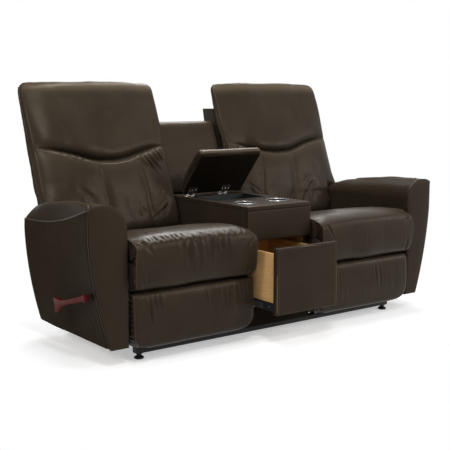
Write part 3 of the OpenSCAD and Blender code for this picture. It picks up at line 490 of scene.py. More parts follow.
def group(name, inputs, outputs):
    """A shader node group with named sockets, and its tree."""
    tree = bpy.data.node_groups.new(name, "ShaderNodeTree")
    for label, kind, default in inputs:
        socket = tree.interface.new_socket(label, in_out="INPUT", socket_type=kind)
        socket.default_value = default
    for label, kind in outputs:
        tree.interface.new_socket(label, in_out="OUTPUT", socket_type=kind)
    return tree, tree.nodes.new("NodeGroupInput"), tree.nodes.new("NodeGroupOutput")


def maths(tree, kind, a, b):
    """One step of arithmetic on sockets or numbers."""
    node = tree.nodes.new("ShaderNodeMath")
    node.operation = kind
    for socket, value in zip(node.inputs, (a, b)):
        if isinstance(value, (int, float)):
            socket.default_value = value
        else:
            tree.links.new(value, socket)
    return node.outputs[0]


def ramp(tree, factor, low, high):
    """Stretches a value from low..high to 0..1."""
    node = tree.nodes.new("ShaderNodeMapRange")
    node.inputs["From Min"].default_value = low
    node.inputs["From Max"].default_value = high
    tree.links.new(factor, node.inputs["Value"])
    return node.outputs["Result"]


def blended(tree, factor, a, b):
    """Colour a at factor 0 and b at factor 1."""
    node = tree.nodes.new("ShaderNodeMix")
    node.data_type = "RGBA"
    for socket, value in ((node.inputs["Factor"], factor), (node.inputs[6], a), (node.inputs[7], b)):
        if isinstance(value, (int, float, tuple)):
            socket.default_value = value
        else:
            tree.links.new(value, socket)
    return node.outputs[2]


def textured(tree, kind, vector, scale, **values):
    """A texture read at a place, with its scale and other inputs."""
    node = tree.nodes.new(kind)
    tree.links.new(vector, node.inputs["Vector"])
    node.inputs["Scale"].default_value = scale
    for label, value in values.items():
        node.inputs[label].default_value = value
    return node


skin_outputs = [("Colour", "NodeSocketColor"), ("Roughness", "NodeSocketFloat"),
                ("Height", "NodeSocketFloat")]


def leather_group():
    """Leather skin: pebbled grain from cells, fine creases between them, cloudy dye, and a lighter colour
    where the
    wear input is high: rubbed edges on some pieces, painted highlights on others.
    """
    tree, given, out = group(
        "Leather skin",
        [("Colour", "NodeSocketColor", (0.04, 0.03, 0.024, 1)),
         ("Rubbed", "NodeSocketColor", (0.08, 0.06, 0.05, 1)),
         ("Wear", "NodeSocketFloat", 0.0), ("Gloss", "NodeSocketFloat", 0.4)],
        skin_outputs)
    place = tree.nodes.new("ShaderNodeTexCoord").outputs["Object"]
    cells = textured(tree, "ShaderNodeTexVoronoi", place, 420.0)
    cells.feature = "DISTANCE_TO_EDGE"
    pebbles = ramp(tree, cells.outputs["Distance"], 0.0, 0.18)
    between = maths(tree, "SUBTRACT", 1.0, pebbles)
    fine = textured(tree, "ShaderNodeTexNoise", place, 900.0, Detail=2.0).outputs["Fac"]
    creased = textured(tree, "ShaderNodeTexNoise", place, 34.0, Detail=5.0, Distortion=0.8).outputs["Fac"]
    clouds = textured(tree, "ShaderNodeTexNoise", place, 5.5, Detail=4.0).outputs["Fac"]
    crease_lines = ramp(tree, maths(tree, "ABSOLUTE", maths(tree, "SUBTRACT", creased, 0.5), 0), 0.0, 0.05)
    cloud = ramp(tree, clouds, 0.32, 0.68)
    light = given.outputs["Rubbed"]
    dyed = blended(tree, maths(tree, "MULTIPLY", cloud, 0.14), given.outputs["Colour"], light)
    rubbed = blended(tree, given.outputs["Wear"], dyed, light)
    dark = blended(tree, maths(tree, "MULTIPLY", between, 0.35), rubbed, (0.012, 0.009, 0.007, 1))
    tree.links.new(dark, out.inputs["Colour"])
    rough = maths(tree, "ADD", given.outputs["Gloss"], maths(tree, "MULTIPLY", cloud, 0.05))
    rough = maths(tree, "ADD", rough, maths(tree, "MULTIPLY", between, 0.08))
    tree.links.new(maths(tree, "SUBTRACT", rough, maths(tree, "MULTIPLY", given.outputs["Wear"], 0.06)),
                   out.inputs["Roughness"])
    height = maths(tree, "ADD", maths(tree, "MULTIPLY", pebbles, 0.55), maths(tree, "MULTIPLY", fine, 0.25))
    height = maths(tree, "ADD", height, maths(tree, "MULTIPLY", crease_lines, 0.9))
    tree.links.new(height, out.inputs["Height"])
    return tree


def wood_group():
    """Wood: rings of a noise stretched along the grain, with fine dark pores."""
    tree, given, out = group(
        "Wood grain",
        [("Colour", "NodeSocketColor", (0.5, 0.33, 0.17, 1)), ("Contrast", "NodeSocketFloat", 0.35),
         ("Place", "NodeSocketVector", (0, 0, 0)), ("Gloss", "NodeSocketFloat", 0.45)],
        skin_outputs)
    place = given.outputs["Place"]
    figure = textured(tree, "ShaderNodeTexNoise", place, 14.0, Detail=5.0, Distortion=0.6).outputs["Fac"]
    wave = maths(tree, "SINE", maths(tree, "MULTIPLY", figure, 42.0), 0)
    pores = textured(tree, "ShaderNodeTexNoise", place, 160.0, Detail=3.0).outputs["Fac"]
    lines = ramp(tree, wave, -1.0, 1.0)
    shade = tree.nodes.new("ShaderNodeHueSaturation")
    shade.inputs["Value"].default_value = 0.52
    shade.inputs["Saturation"].default_value = 1.12
    tree.links.new(given.outputs["Colour"], shade.inputs["Color"])
    amount = maths(tree, "MULTIPLY", lines, given.outputs["Contrast"])
    amount = maths(tree, "ADD", amount, maths(tree, "MULTIPLY", ramp(tree, pores, 0.55, 0.75), 0.3))
    figured = blended(tree, amount, given.outputs["Colour"], shade.outputs["Color"])
    tree.links.new(figured, out.inputs["Colour"])
    tree.links.new(maths(tree, "ADD", given.outputs["Gloss"], maths(tree, "MULTIPLY", lines, 0.1)),
                   out.inputs["Roughness"])
    tree.links.new(maths(tree, "ADD", maths(tree, "MULTIPLY", lines, 0.4), pores), out.inputs["Height"])
    return tree


def metal_group():
    """Metal: fine speckle, smudges and dust in the dull places."""
    tree, given, out = group(
        "Metal wear",
        [("Colour", "NodeSocketColor", (0.1, 0.1, 0.1, 1)), ("Gloss", "NodeSocketFloat", 0.3),
         ("Speckle", "NodeSocketFloat", 0.2)],
        skin_outputs)
    place = tree.nodes.new("ShaderNodeTexCoord").outputs["Object"]
    smudge = textured(tree, "ShaderNodeTexNoise", place, 18.0, Detail=6.0).outputs["Fac"]
    grain = textured(tree, "ShaderNodeTexNoise", place, 1200.0, Detail=2.0).outputs["Fac"]
    dull = ramp(tree, smudge, 0.35, 0.75)
    dust = maths(tree, "MULTIPLY", dull, given.outputs["Speckle"])
    tree.links.new(blended(tree, dust, given.outputs["Colour"], (0.16, 0.15, 0.14, 1)), out.inputs["Colour"])
    tree.links.new(maths(tree, "ADD", given.outputs["Gloss"], maths(tree, "MULTIPLY", dull, 0.12)),
                   out.inputs["Roughness"])
    tree.links.new(grain, out.inputs["Height"])
    return tree


def grained(name, tree, shine, strength, distance, **values):
    """A material whose colour, roughness and fine relief come from a node group with these inputs. Gives its
    nodes, its links, its shader and the group's node."""
    made = bpy.data.materials.new(name)
    made.use_nodes = True
    materials[name] = made
    nodes, links = made.node_tree.nodes, made.node_tree.links
    shader, skin, relief = nodes["Principled BSDF"], nodes.new("ShaderNodeGroup"), nodes.new("ShaderNodeBump")
    skin.node_tree = tree
    for label, value in values.items():
        skin.inputs[label].default_value = value
    relief.inputs["Strength"].default_value = strength
    relief.inputs["Distance"].default_value = distance
    shader.inputs["Specular IOR Level"].default_value = shine
    links.new(skin.outputs["Colour"], shader.inputs["Base Color"])
    links.new(skin.outputs["Roughness"], shader.inputs["Roughness"])
    links.new(skin.outputs["Height"], relief.inputs["Height"])
    links.new(relief.outputs["Normal"], shader.inputs["Normal"])
    return nodes, links, shader, skin


def make_leather(name, tree, colour, rubbed, gloss, wear=None, shine=0.10):
    """Leather whose rubbed places and painted highlights come from the mesh's own wear attribute, or are
    even.
    """
    nodes, links, shader, skin = grained(name, tree, shine, 0.22, 0.00022, Colour=(*colour, 1),
                                         Rubbed=(*rubbed, 1), Gloss=gloss)
    shader.inputs["Specular Tint"].default_value = (1.0, 0.86, 0.68, 1)
    if wear is None:
        attribute = nodes.new("ShaderNodeAttribute")
        attribute.attribute_name = "wear"
        links.new(attribute.outputs["Fac"], skin.inputs["Wear"])
    else:
        skin.inputs["Wear"].default_value = wear


def make_wood(name, tree, colour, contrast, gloss, stretch, shine):
    """Wood whose grain runs along the axis that has the smallest number in stretch."""
    nodes, links, _, grain = grained(name, tree, shine, 0.15, 0.0004, Colour=(*colour, 1), Contrast=contrast,
                                     Gloss=gloss)
    place, mapping = nodes.new("ShaderNodeTexCoord"), nodes.new("ShaderNodeMapping")
    mapping.inputs["Scale"].default_value = stretch
    links.new(place.outputs["Object"], mapping.inputs["Vector"])
    links.new(mapping.outputs["Vector"], grain.inputs["Place"])


def make_metal(name, tree, colour, metallic, gloss, speckle, strength=0.08, shine=0.5):
    """Metal, or paint and plastic where metallic is 0."""
    _, _, shader, _ = grained(name, tree, shine, strength, 0.0003, Colour=(*colour, 1), Gloss=gloss,
                              Speckle=speckle)
    shader.inputs["Metallic"].default_value = metallic


def make_materials(colours):
    """Leathers, woods, metals and plastic, in the panel's colours."""
    skin, grain, worn = leather_group(), wood_group(), metal_group()
    plain, light = tuple(colours.leather), tuple(colours.leather_rubbed_and_highlight)
    make_leather("leather", skin, plain, light, 0.27)
    make_leather("leather_side", skin, plain, light, 0.36, wear=0.0, shine=0.003)
    make_leather("leather_arm", skin, plain, light, 0.30, shine=0.014)
    make_leather("leather_boards", skin, plain, light, 0.34, wear=0.0, shine=0.07)
    # welts a little lighter than the leather: rubbed piping, and a painted highlight along the tubes
    make_leather("leather_welt", skin, tuple(0.75 * a + 0.25 * b for a, b in zip(plain, light)), light, 0.34,
                 wear=0.2)
    # dark leather for the lid's lining and the kick panel, and a painted shade on the thick tube over each
    # arm's front edge
    make_leather("lining", skin, tuple(0.34 * c for c in plain), plain, 0.5, wear=0.0, shine=0.02)
    # darker leather for the back shells and the middle back's panel, also a painted shade on the arms' front
    # welts
    make_leather("leather_shell", skin, tuple(0.62 * c for c in plain), plain, 0.46, wear=0.1)
    make_leather("thread", skin, tuple(1.4 * c for c in light), light, 0.6, wear=0.0)
    make_wood("birch", grain, tuple(colours.birch), 0.22, 0.42, (3.0, 0.5, 3.0), 0.3)
    make_wood("plywood", grain, tuple(colours.plywood), 0.4, 0.6, (0.6, 3.0, 3.0), 0.2)
    make_wood("cherry", grain, tuple(colours.cherry), 0.55, 0.34, (4.0, 0.7, 4.0), 0.04)
    make_metal("mechanism_steel", worn, tuple(colours.steel), 0.6, 0.38, 0.3)
    make_metal("black_steel", worn, (0.007, 0.007, 0.0075), 0.0, 0.42, 0.04, shine=0.2)
    make_metal("bright_steel", worn, (0.42, 0.42, 0.43), 1.0, 0.24, 0.1)
    make_metal("chrome", worn, (0.58, 0.58, 0.59), 1.0, 0.16, 0.02, 0.02)
    make_metal("black_plastic", worn, (0.0065, 0.0075, 0.008), 0.0, 0.42, 0.03, 0.3, 0.2)


def set_wear_and_painted_sheen(piece, values):
    """How light the leather is at each point, from 0 to 1: rubbed places, and painted highlights on the
    backs, the arms' tops and the lid.
    """
    attribute = piece.data.attributes.new("wear", "FLOAT", "POINT")
    attribute.data.foreach_set("value", np.clip(values, 0, 1).astype(np.float32).ravel())


# Seat cushions

seat_profile = [
    (0.472, 0.351), (0.040, 0.351), (0.0205, 0.344), (0.0195, 0.302), (0.008, 0.289), (-0.016, 0.286),
    (-0.042, 0.288), (-0.062, 0.300), (-0.071, 0.335), (-0.075, 0.390), (-0.0745, 0.436), (-0.071, 0.459),
    (-0.060, 0.470), (-0.036, 0.481), (-0.006, 0.488), (0.040, 0.490), (0.130, 0.483), (0.240, 0.467),
    (0.350, 0.446), (0.440, 0.427), (0.468, 0.416), (0.4735, 0.402), (0.4735, 0.370)]
seat_front_edge = (-0.062, 0.468)


def seat_folds(rng, left):
    """Folds over the front edge, upright folds on the roll and pulls at its corners. The first place
    runs across the seat from its middle, the second down from the front edge along the leather."""
    lines = []
    strong = 1.0 if left else 0.15
    for a in np.arange(-0.25, 0.26, 0.026):
        lines += fan(rng, 1, (a, -0.035), (0.010, 0.008), 90, 10, 0.060, 0.0052, 0.0036 * strong)
    for _ in range(15 if left else 5):
        lines += fan(rng, 1, (rng.uniform(-0.12, 0.13), 0.004), (0.01, 0.02), 90, 6, 0.105, 0.0070,
                     0.0036 * strong)
    for edge in (-1, 1):
        lines += fan(rng, 4, (edge * 0.262, -0.01), (0.006, 0.02), 90 + edge * 35, 14, 0.07, 0.005, 0.0024)
        lines += fan(rng, 5, (edge * 0.25, 0.180), (0.02, 0.01), -90 + edge * 12, 12, 0.06, 0.006, 0.0018)
    return lines


def make_seats(sizes):
    """Seat cushions: place = ring + n * (puff + sag + folds + ribs). The top rises by crown * (1 - s^2) in
    its middle and drops at both ends. A welt runs along each rounded side corner."""
    profile, run = spaced(rounded(seat_profile), 250)
    edge = np.argmin(np.linalg.norm(profile - seat_front_edge, axis=1))
    on_top = (profile[:, 1] > 0.40) & (profile[:, 0] > -0.058)
    down = np.where(on_top, -np.abs(run - run[edge]), np.abs(run - run[edge]))
    half = (seat_far[0] - seat_near[0]) / 2
    middle = (seat_far[0] + seat_near[0]) / 2
    for k, (hand, side) in enumerate(sides.items()):
        rng = np.random.default_rng(40 + k)
        grid, s, shrunk = cushion_grid(profile, lambda s, z: middle + s * half, 130, 0.42 * sizes.corner,
                                       ((0.40, 0.39), (-0.02, 0.40)), -0.005)
        normal = grid_normals(grid)
        x, y, z = np.moveaxis(grid, 2, 0)
        a = (x - middle) * side
        b = np.broadcast_to(down, x.shape)
        ss = s[:, None]
        face = (1 - smooth((np.abs(ss) - 0.93) / 0.06)) * (shrunk == 0)[:, None]
        lift = sizes.crown * (1 - ss ** 2) * smooth((z - 0.34) / 0.14)
        inner_drop = 0.016 if side < 0 else 0.007
        lift -= mix(inner_drop, 0.008, (ss + 1) / 2) * smooth((np.abs(ss) - 0.74) / 0.26) * smooth(
            (z - 0.42) / 0.05)
        puff = 0.005 * (1 - ss ** 4) * bump(z, 0.390, 0.06) * (y < 0)
        roll = np.clip((np.abs(ss) - 0.84) / 0.16, 0, 1)
        puff = puff - 0.006 * (1 - np.sqrt(1 - 0.98 * roll ** 2)) * (y < -0.02)
        sag = 0.003 * noise(a * 9 + 3, b * 9, 7 + k) * face
        wrinkle = folds(a, b, seat_folds(rng, side < 0)) * face * sizes.fold
        wrinkle *= (z > 0.29) & (y < 0.12)
        along_top = fan(rng, 14, (0, -0.25), (0.2, 0.14), 5, 12, 0.14, 0.008, 0.0016)
        wrinkle += folds(a, b, along_top) * face * (y > 0) * (z > 0.45)
        ribs = 0.0045 * np.sin(b * 210 + 3 * noise(b * 30, a * 0, 5)) * (shrunk > 0.05)[:, None] * (y < 0)
        grid = grid + normal * (puff + sag + wrinkle + ribs)[:, :, None]
        grid[:, :, 2] += lift
        grid[:, :, 0] += 0.011 * smooth((ss - 0.55) / 0.45) * smooth((-0.030 - y) / 0.03) * bump(
            z, 0.375, 0.075)
        piece = surface("seat_cushion_leather_" + hand, grid, side)
        wear = 0.5 * bump(z, 0.500, 0.018) * (y < 0.1) * (0.4 + 0.6 * smooth(noise(a * 30, b * 20, 9) + 0.5))
        set_wear_and_painted_sheen(piece, wear)
        settle(piece, hand + "_seat", "leather", [f"seat_cushion_{hand}"])
        for end, label in ((-1, "inner"), (1, "outer")):
            row = np.argmin(np.abs(s - end * (1 - 0.2 * sizes.corner / half)) + 10 * (shrunk > 0))
            shown = (y[row] < 0.465) & (z[row] > 0.30) & ((y[row] < 0.005) | (z[row] > 0.40))
            path = evened(grid[row][shown][np.argsort(down[shown])], 1, 220)
            welt(f"seat_welt_{label}_{hand}", path, sizes.welt, hand + "_seat", side=side)


class LOVESEAT_OT_seats(bpy.types.Operator):
    """Seat cushions with a front roll, folds in the leather and welts on their side seams"""

    bl_idname = "loveseat.seats"
    bl_label = "Seat Cushions"

    def execute(self, context):
        make_seats(context.scene.loveseat_sizes)
        return {"FINISHED"}


# Back cushions

crease_places = np.array([-1.06, -0.88, -0.66, -0.42, -0.18, 0.14, 0.50, 0.84, 1.06])
crease_heights = np.array([0.787, 0.785, 0.774, 0.752, 0.738, 0.742, 0.778, 0.797, 0.786])


def crease_height(s):
    """Height of the smiling crease from the console side, s = -1, to the arm side, s = 1."""
    fine = np.linspace(-1.06, 1.06, 80)
    level = np.interp(fine, crease_places, crease_heights)
    kernel = np.ones(9) / 9
    level = np.convolve(np.pad(level, 4, mode="edge"), kernel, mode="valid")
    return np.interp(s, fine, level)


back_inner, seat_edge = seat_near[0] + 0.006, seat_far[0]
back_middle = (back_inner + seat_edge) / 2
reach = back_far[0] - seat_edge - 0.003
reach_low = arm_far[2] - 0.092
cushion_foot, head_foot = 0.455, 0.80
back_foot_y, back_foot_z, back_lean, back_thick = 0.484, 0.463, 0.395, 0.046


def back_line(z):
    """Depth of the back cushion's front at a height, before it swells."""
    return back_foot_y + back_lean * (z - back_foot_z)


def back_profile():
    """Outline of a back cushion in (depth, height), up its front and down its rear."""
    front_side = [(back_line(z), z) for z in (0.455, 0.52, 0.60, 0.68, 0.76, 0.84, 0.92, 0.97)]
    over_top = [(0.698, 1.000), (0.709, 1.026), (0.7195, 1.048), (0.733, 1.065), (0.748, 1.073),
                (0.760, 1.066)]
    rear = [(back_line(z) + back_thick + 0.08 * (1.071 - z), z)
            for z in (1.022, 0.92, 0.80, 0.68, 0.56, 0.44)]
    return [(0.500, 0.410), (0.487, 0.425)] + front_side + over_top + rear + [(0.545, 0.409)]


def back_folds(rng, half, left):
    """Puckers under both ends of the crease, pulls in the lower corners and long soft folds. Places are
    across from the pad's middle towards the arm, and heights."""
    lines = []
    for a in np.linspace(-0.268, -0.12, 7):
        at = (a, crease_height(a / half) - 0.010)
        lines += fan(rng, 1, at, (0.002, 0.002), -120, 6, 0.092 if left else 0.045, 0.0062, 0.0096)
    for a in (0.15, 0.185, 0.215, 0.245):
        at = (a, crease_height(a / half) - 0.014)
        lines += fan(rng, 1, at, (0.003, 0.002), -100, 18, 0.034, 0.0060, 0.0044 if left else 0.0018)
    lines += fan(rng, 7, (-0.235, 0.56), (0.012, 0.05), -38, 12, 0.11, 0.0075, 0.0050 if not left else 0.0022)
    lines += fan(rng, 4, (0.21, 0.59), (0.03, 0.03), -140, 16, 0.08, 0.011, 0.0016)
    lines += fan(rng, 4, (-0.24, 0.84), (0.02, 0.03), 110, 18, 0.11, 0.012, 0.0010)
    lines += fan(rng, 10, (0.0, 0.49), (0.22, 0.015), 88, 14, 0.06, 0.008, 0.0022)
    return lines


def rounding(t):
    """1 - sqrt(1 - t^2) for t from 0 to 1: how far a quarter circle has turned in."""
    return 1 - np.sqrt(1 - np.clip(t, 0, 0.999) ** 2)


def back_x(s, z):
    """Place across at s from -1 to 1 and a height. The outer side reaches over the arm above reach_low, both
    sides widen a little up the head section, and both round in at the top."""
    near_top = lambda drop: rounding((z - back_far[2] + drop) / drop)
    outer = seat_edge + 0.008 * smooth((z - cushion_foot) / 0.03) + (reach - 0.008) * smooth(
        (z - reach_low) / 0.020) + 0.004 * smooth((z - head_foot) / 0.15)
    nearer = back_inner - 0.007 * smooth((z - head_foot) / 0.08)
    return mix(nearer + 0.026 * near_top(0.040), outer - 0.028 * near_top(0.050), (s + 1) / 2)


def crease_share(s):
    """How deep the crease is across the cushion, and how it fades out at both ends."""
    return mix(0.35, 1, smooth((0.9 - np.abs(s)) / 0.3)), smooth((1.02 - np.abs(s)) / 0.16)


def back_swell(x, z, s, k, side, sizes):
    """Swell of a back cushion's front: head * (1 - |s|^3), lumbar section * (1 - |s|^3.5), grooves of
    exp(-q^2) for the crease and the sewn channels, and then folds and unevenness."""
    a = x - back_middle
    c = crease_height(s)
    deep, ends = crease_share(s)
    inside = 1 - np.abs(s) ** 5
    below = smooth((c - 0.02 - z) / 0.03)
    head = sizes.head_puff * smooth((z - c + 0.004) / 0.032) * (
        1 - 0.5 * smooth((z - c - 0.08) / 0.2)) * (1 - np.abs(s) ** 3)
    lumbar = sizes.lumbar_puff * (1 - np.abs(s) ** 3.5) * smooth((c - z) / 0.030) * bump(z, c - 0.08, 0.135)
    groove = -sizes.crease * deep * ends * (0.62 * bump(z, c, 0.0055) + 0.10 * bump(z, c + 0.008, 0.016))
    channels = -sum(0.0038 * bump(x, channel_x(n, z), 0.0030) for n in range(4)) * below
    channels -= 0.004 * sum(bump(x, channel_x(n, z) + 0.005, 0.022) for n in (0, 2)) * below
    rng = np.random.default_rng(71 + k)
    wrinkle = folds(a, z, back_folds(rng, 0.286, side < 0)) * ends * sizes.fold
    soft = 0.0056 * noise(a * 8, z * 7, 20 + k) * inside + 0.0014 * noise(a * 26, z * 20, 22 + k) * inside
    roll = 0.003 * bump(z, 1.04, 0.03) * inside
    return head + lumbar + groove + channels + wrinkle + soft + roll


def boxing_gathers(z, shrunk, k):
    """Gathers in the side boxing: a sine of the ring's share with noise in its phase, weaker low down."""
    share = shrunk[:, None]
    return (share > 0.03) * mix(0.3, 1, smooth((z - 0.58) / 0.04)) * (
        0.0050 * np.sin(share * 15 + 2.5 * noise(z * 9, np.full_like(z, 2), 31 + k))
        + 0.002 * noise(share * 6, z * 22, 33 + k))


def turned_back(y, z, s, side):
    """Two depths by which the front lies back towards its ends: a rounding over the last quarter, and a slow
    turn of the head section and the lower section at each cushion's left side."""
    c = crease_height(s)
    roll = np.clip((np.abs(s) - 0.74) / 0.26, 0, 1)
    far_back = 0.026 * smooth((1.0 - z) / 0.32) * mix(0.2, 1, smooth((z - 0.53) / 0.10))
    at_front = smooth((0.03 + back_line(z) + back_thick - y) / 0.05)
    edges = np.where(s > 0, far_back, 0.006) * (1 - np.sqrt(1 - 0.98 * roll ** 2)) * at_front
    head = (0.022 * np.clip((s - 0.64) / 0.36, 0, 1) ** 2 if side < 0
            else 0.018 * smooth((-s - 0.38) / 0.34)) * smooth((z - c + 0.03) / 0.06)
    low = 0.010 * smooth((-side * s - 0.48) / 0.36) * smooth((c - z) / 0.03) * smooth((z - 0.55) / 0.1)
    return edges, (head + low) * smooth((0.035 + back_line(z) - y) / 0.03)


def kept_clear(grid, facing):
    """Holds the front's lower edge behind the seat, and what is beside the arm behind its rear edge."""
    x, y, z = np.moveaxis(grid, 2, 0)
    y[:] = np.where((z < 0.475) & (facing > 0), np.maximum(y, 0.4795), y)
    beside_arm = (x > arm_near[0] - 0.0065) & (z < crest_z(1.0) + 0.012)
    y[:] = np.where(beside_arm, np.maximum(y, arm_y(1.0, z) + 0.006), y)


def make_backs(sizes):
    """Back cushions: place = ring + n * swell, with the ends turned backwards, the top corners blunt, the
    boxing gathered and the head section hanging over the crease."""
    profile, _ = spaced(rounded(back_profile()), 330)
    for k, (hand, side) in enumerate(sides.items()):
        grid, s, shrunk = cushion_grid(profile, back_x, 130, 0.8 * sizes.corner,
                                       ((0.530, 0.45), (0.735, 1.04)), 0.003, 12)
        normal = grid_normals(grid)
        x, y, z = np.moveaxis(grid, 2, 0)
        ss = np.broadcast_to(s[:, None], x.shape)
        c = crease_height(ss)
        deep, ends = crease_share(ss)
        facing = smooth((-normal[:, :, 1] - 0.25) / 0.4) * (shrunk == 0)[:, None]
        swell = facing * back_swell(x, z, ss, k, side, sizes)
        grid = grid + normal * swell[:, :, None]
        for depth in turned_back(y, z, ss, side):
            grid[:, :, 1] += depth
        behind = smooth((y - back_line(z) - 0.010) / 0.035)
        grid[:, :, 0] -= 0.034 * behind * rounding((z - back_far[2] + 0.11) / 0.11) * ss
        grid[:, :, 0] += boxing_gathers(z, shrunk, k) * np.where(ss < 0, -0.4, 1)
        grid[:, :, 2] -= 0.009 * bump(z, c + 0.017, 0.014) * ends * facing * deep
        kept_clear(grid, facing)
        piece = surface("back_cushion_leather_" + hand, grid, side)
        # painted highlight: the leather is lightened along the head's top roll and in a band just under the
        # crease
        set_wear_and_painted_sheen(piece, 0.95 * bump(z, 1.050, 0.020) + 0.25 * bump(z, c - 0.03, 0.02) * facing)
        settle(piece, hand + "_back", "leather", [f"back_pad_{hand}"])
        make_back_welts(grid, y, z, s, shrunk, hand, side, sizes)
        make_channel_stitches(grid, s, shrunk, hand, side, sizes)


def make_back_welts(grid, y, z, s, shrunk, hand, side, sizes):
    """Welts along both side corners of the front, and two seams down the side boxing."""
    corners = [np.argmin(np.abs(s - end * (1 - 0.24 * sizes.corner / 0.29)) + 10 * (shrunk > 0))
               for end in (-1, 1)]
    seams = [np.argmin(np.abs(s * (1 + shrunk) - 1 - share)) for share in (0.02, 0.44)]
    for row, label in zip(corners + seams, ("inner", "outer", "boxing", "rear")):
        shown = (y[row] < back_line(z[row]) + 0.03) & (z[row] > 0.47)
        path = grid[row][shown]
        path = evened(path[np.argsort(path[:, 2])], 1, 200)
        material = "leather_boards" if label in ("inner", "outer") else "leather_welt"
        welt(f"back_welt_{label}_{hand}", path, sizes.welt, hand + "_back", material, side=side)


def channel_x(number, z):
    """Place across of each seam in the lower back section: two pairs, both leaning inwards downwards."""
    top, low = ((0.346, 0.313), (0.356, 0.323), (0.553, 0.521), (0.563, 0.531))[number]
    return low + (top - low) * (z - 0.47) / 0.25


def make_channel_stitches(grid, s, shrunk, hand, side, sizes):
    """A row of stitches along each seam of the lower back section, laid on the leather between rings."""
    flat = np.where(shrunk == 0)[0]
    for number in range(4):
        path = []
        for height in np.arange(0.490, 0.76, 0.006):
            columns = np.argmin(np.abs(grid[flat, :, 2] - height) + 9 * (
                grid[flat, :, 1] > back_line(height) + 0.03), axis=1)
            level = grid[flat, columns]
            path.append([np.interp(channel_x(number, height), level[:, 0], level[:, k]) for k in range(3)])
        path = np.array(path)
        place = np.interp(path[:, 0], grid[flat, 0, 0], s[flat])
        path = path[path[:, 2] < crease_height(place) - 0.03] - [0, 0.0004, 0]
        piece = stitches(f"back_channel_stitches_{number}_{hand}", path, sizes.stitch, side)
        settle(piece, hand + "_back", "thread")


def make_back_shells(sizes):
    """Outer shells with welts up their rear corners and two seams across, and the frames inside."""
    low, high = near("back_shell_right"), far("back_shell_right")
    rear = lambda z: high[1] - 0.2 * (high[2] - z) + 0.0008
    for hand, side in sides.items():
        body = hand + "_back"
        rounded_board("back_shell_" + hand, 0.0045, body, "leather_shell")
        z = np.linspace(low[2] + 0.008, high[2] - 0.008, 90)
        for number, x in enumerate((low[0] + 0.010, high[0] - 0.010)):
            welt(f"shell_welt_{number}_{hand}", points_at(x, rear(z), z), sizes.welt, body,
                 slot="leather_dark", side=side)
        x = np.linspace(low[0] + 0.010, high[0] - 0.010, 90)
        for number, height in enumerate((high[2] - 0.010, low[2] + 0.26)):
            welt(f"shell_seam_{number}_{hand}", points_at(x, rear(height), height), sizes.welt * 0.8, body,
                 slot="leather_dark", side=side)
        rounded_board("back_frame_" + hand, 0.002, body, "plywood")


class LOVESEAT_OT_backs(bpy.types.Operator):
    """Back cushions with a head section, a smiling crease and sewn channels, and their outer shells"""

    bl_idname = "loveseat.backs"
    bl_label = "Back Cushions"

    def execute(self, context):
        sizes = context.scene.loveseat_sizes
        make_backs(sizes)
        make_back_shells(sizes)
        return {"FINISHED"}


# Footrests

foot_profile = [
    (0.0145, 0.068), (0.0145, 0.268), (0.004, 0.277), (-0.018, 0.279), (-0.036, 0.273), (-0.045, 0.255),
    (-0.048, 0.200), (-0.049, 0.150), (-0.047, 0.095), (-0.040, 0.066), (-0.018, 0.055), (0.004, 0.056)]
foot_corner = 0.016


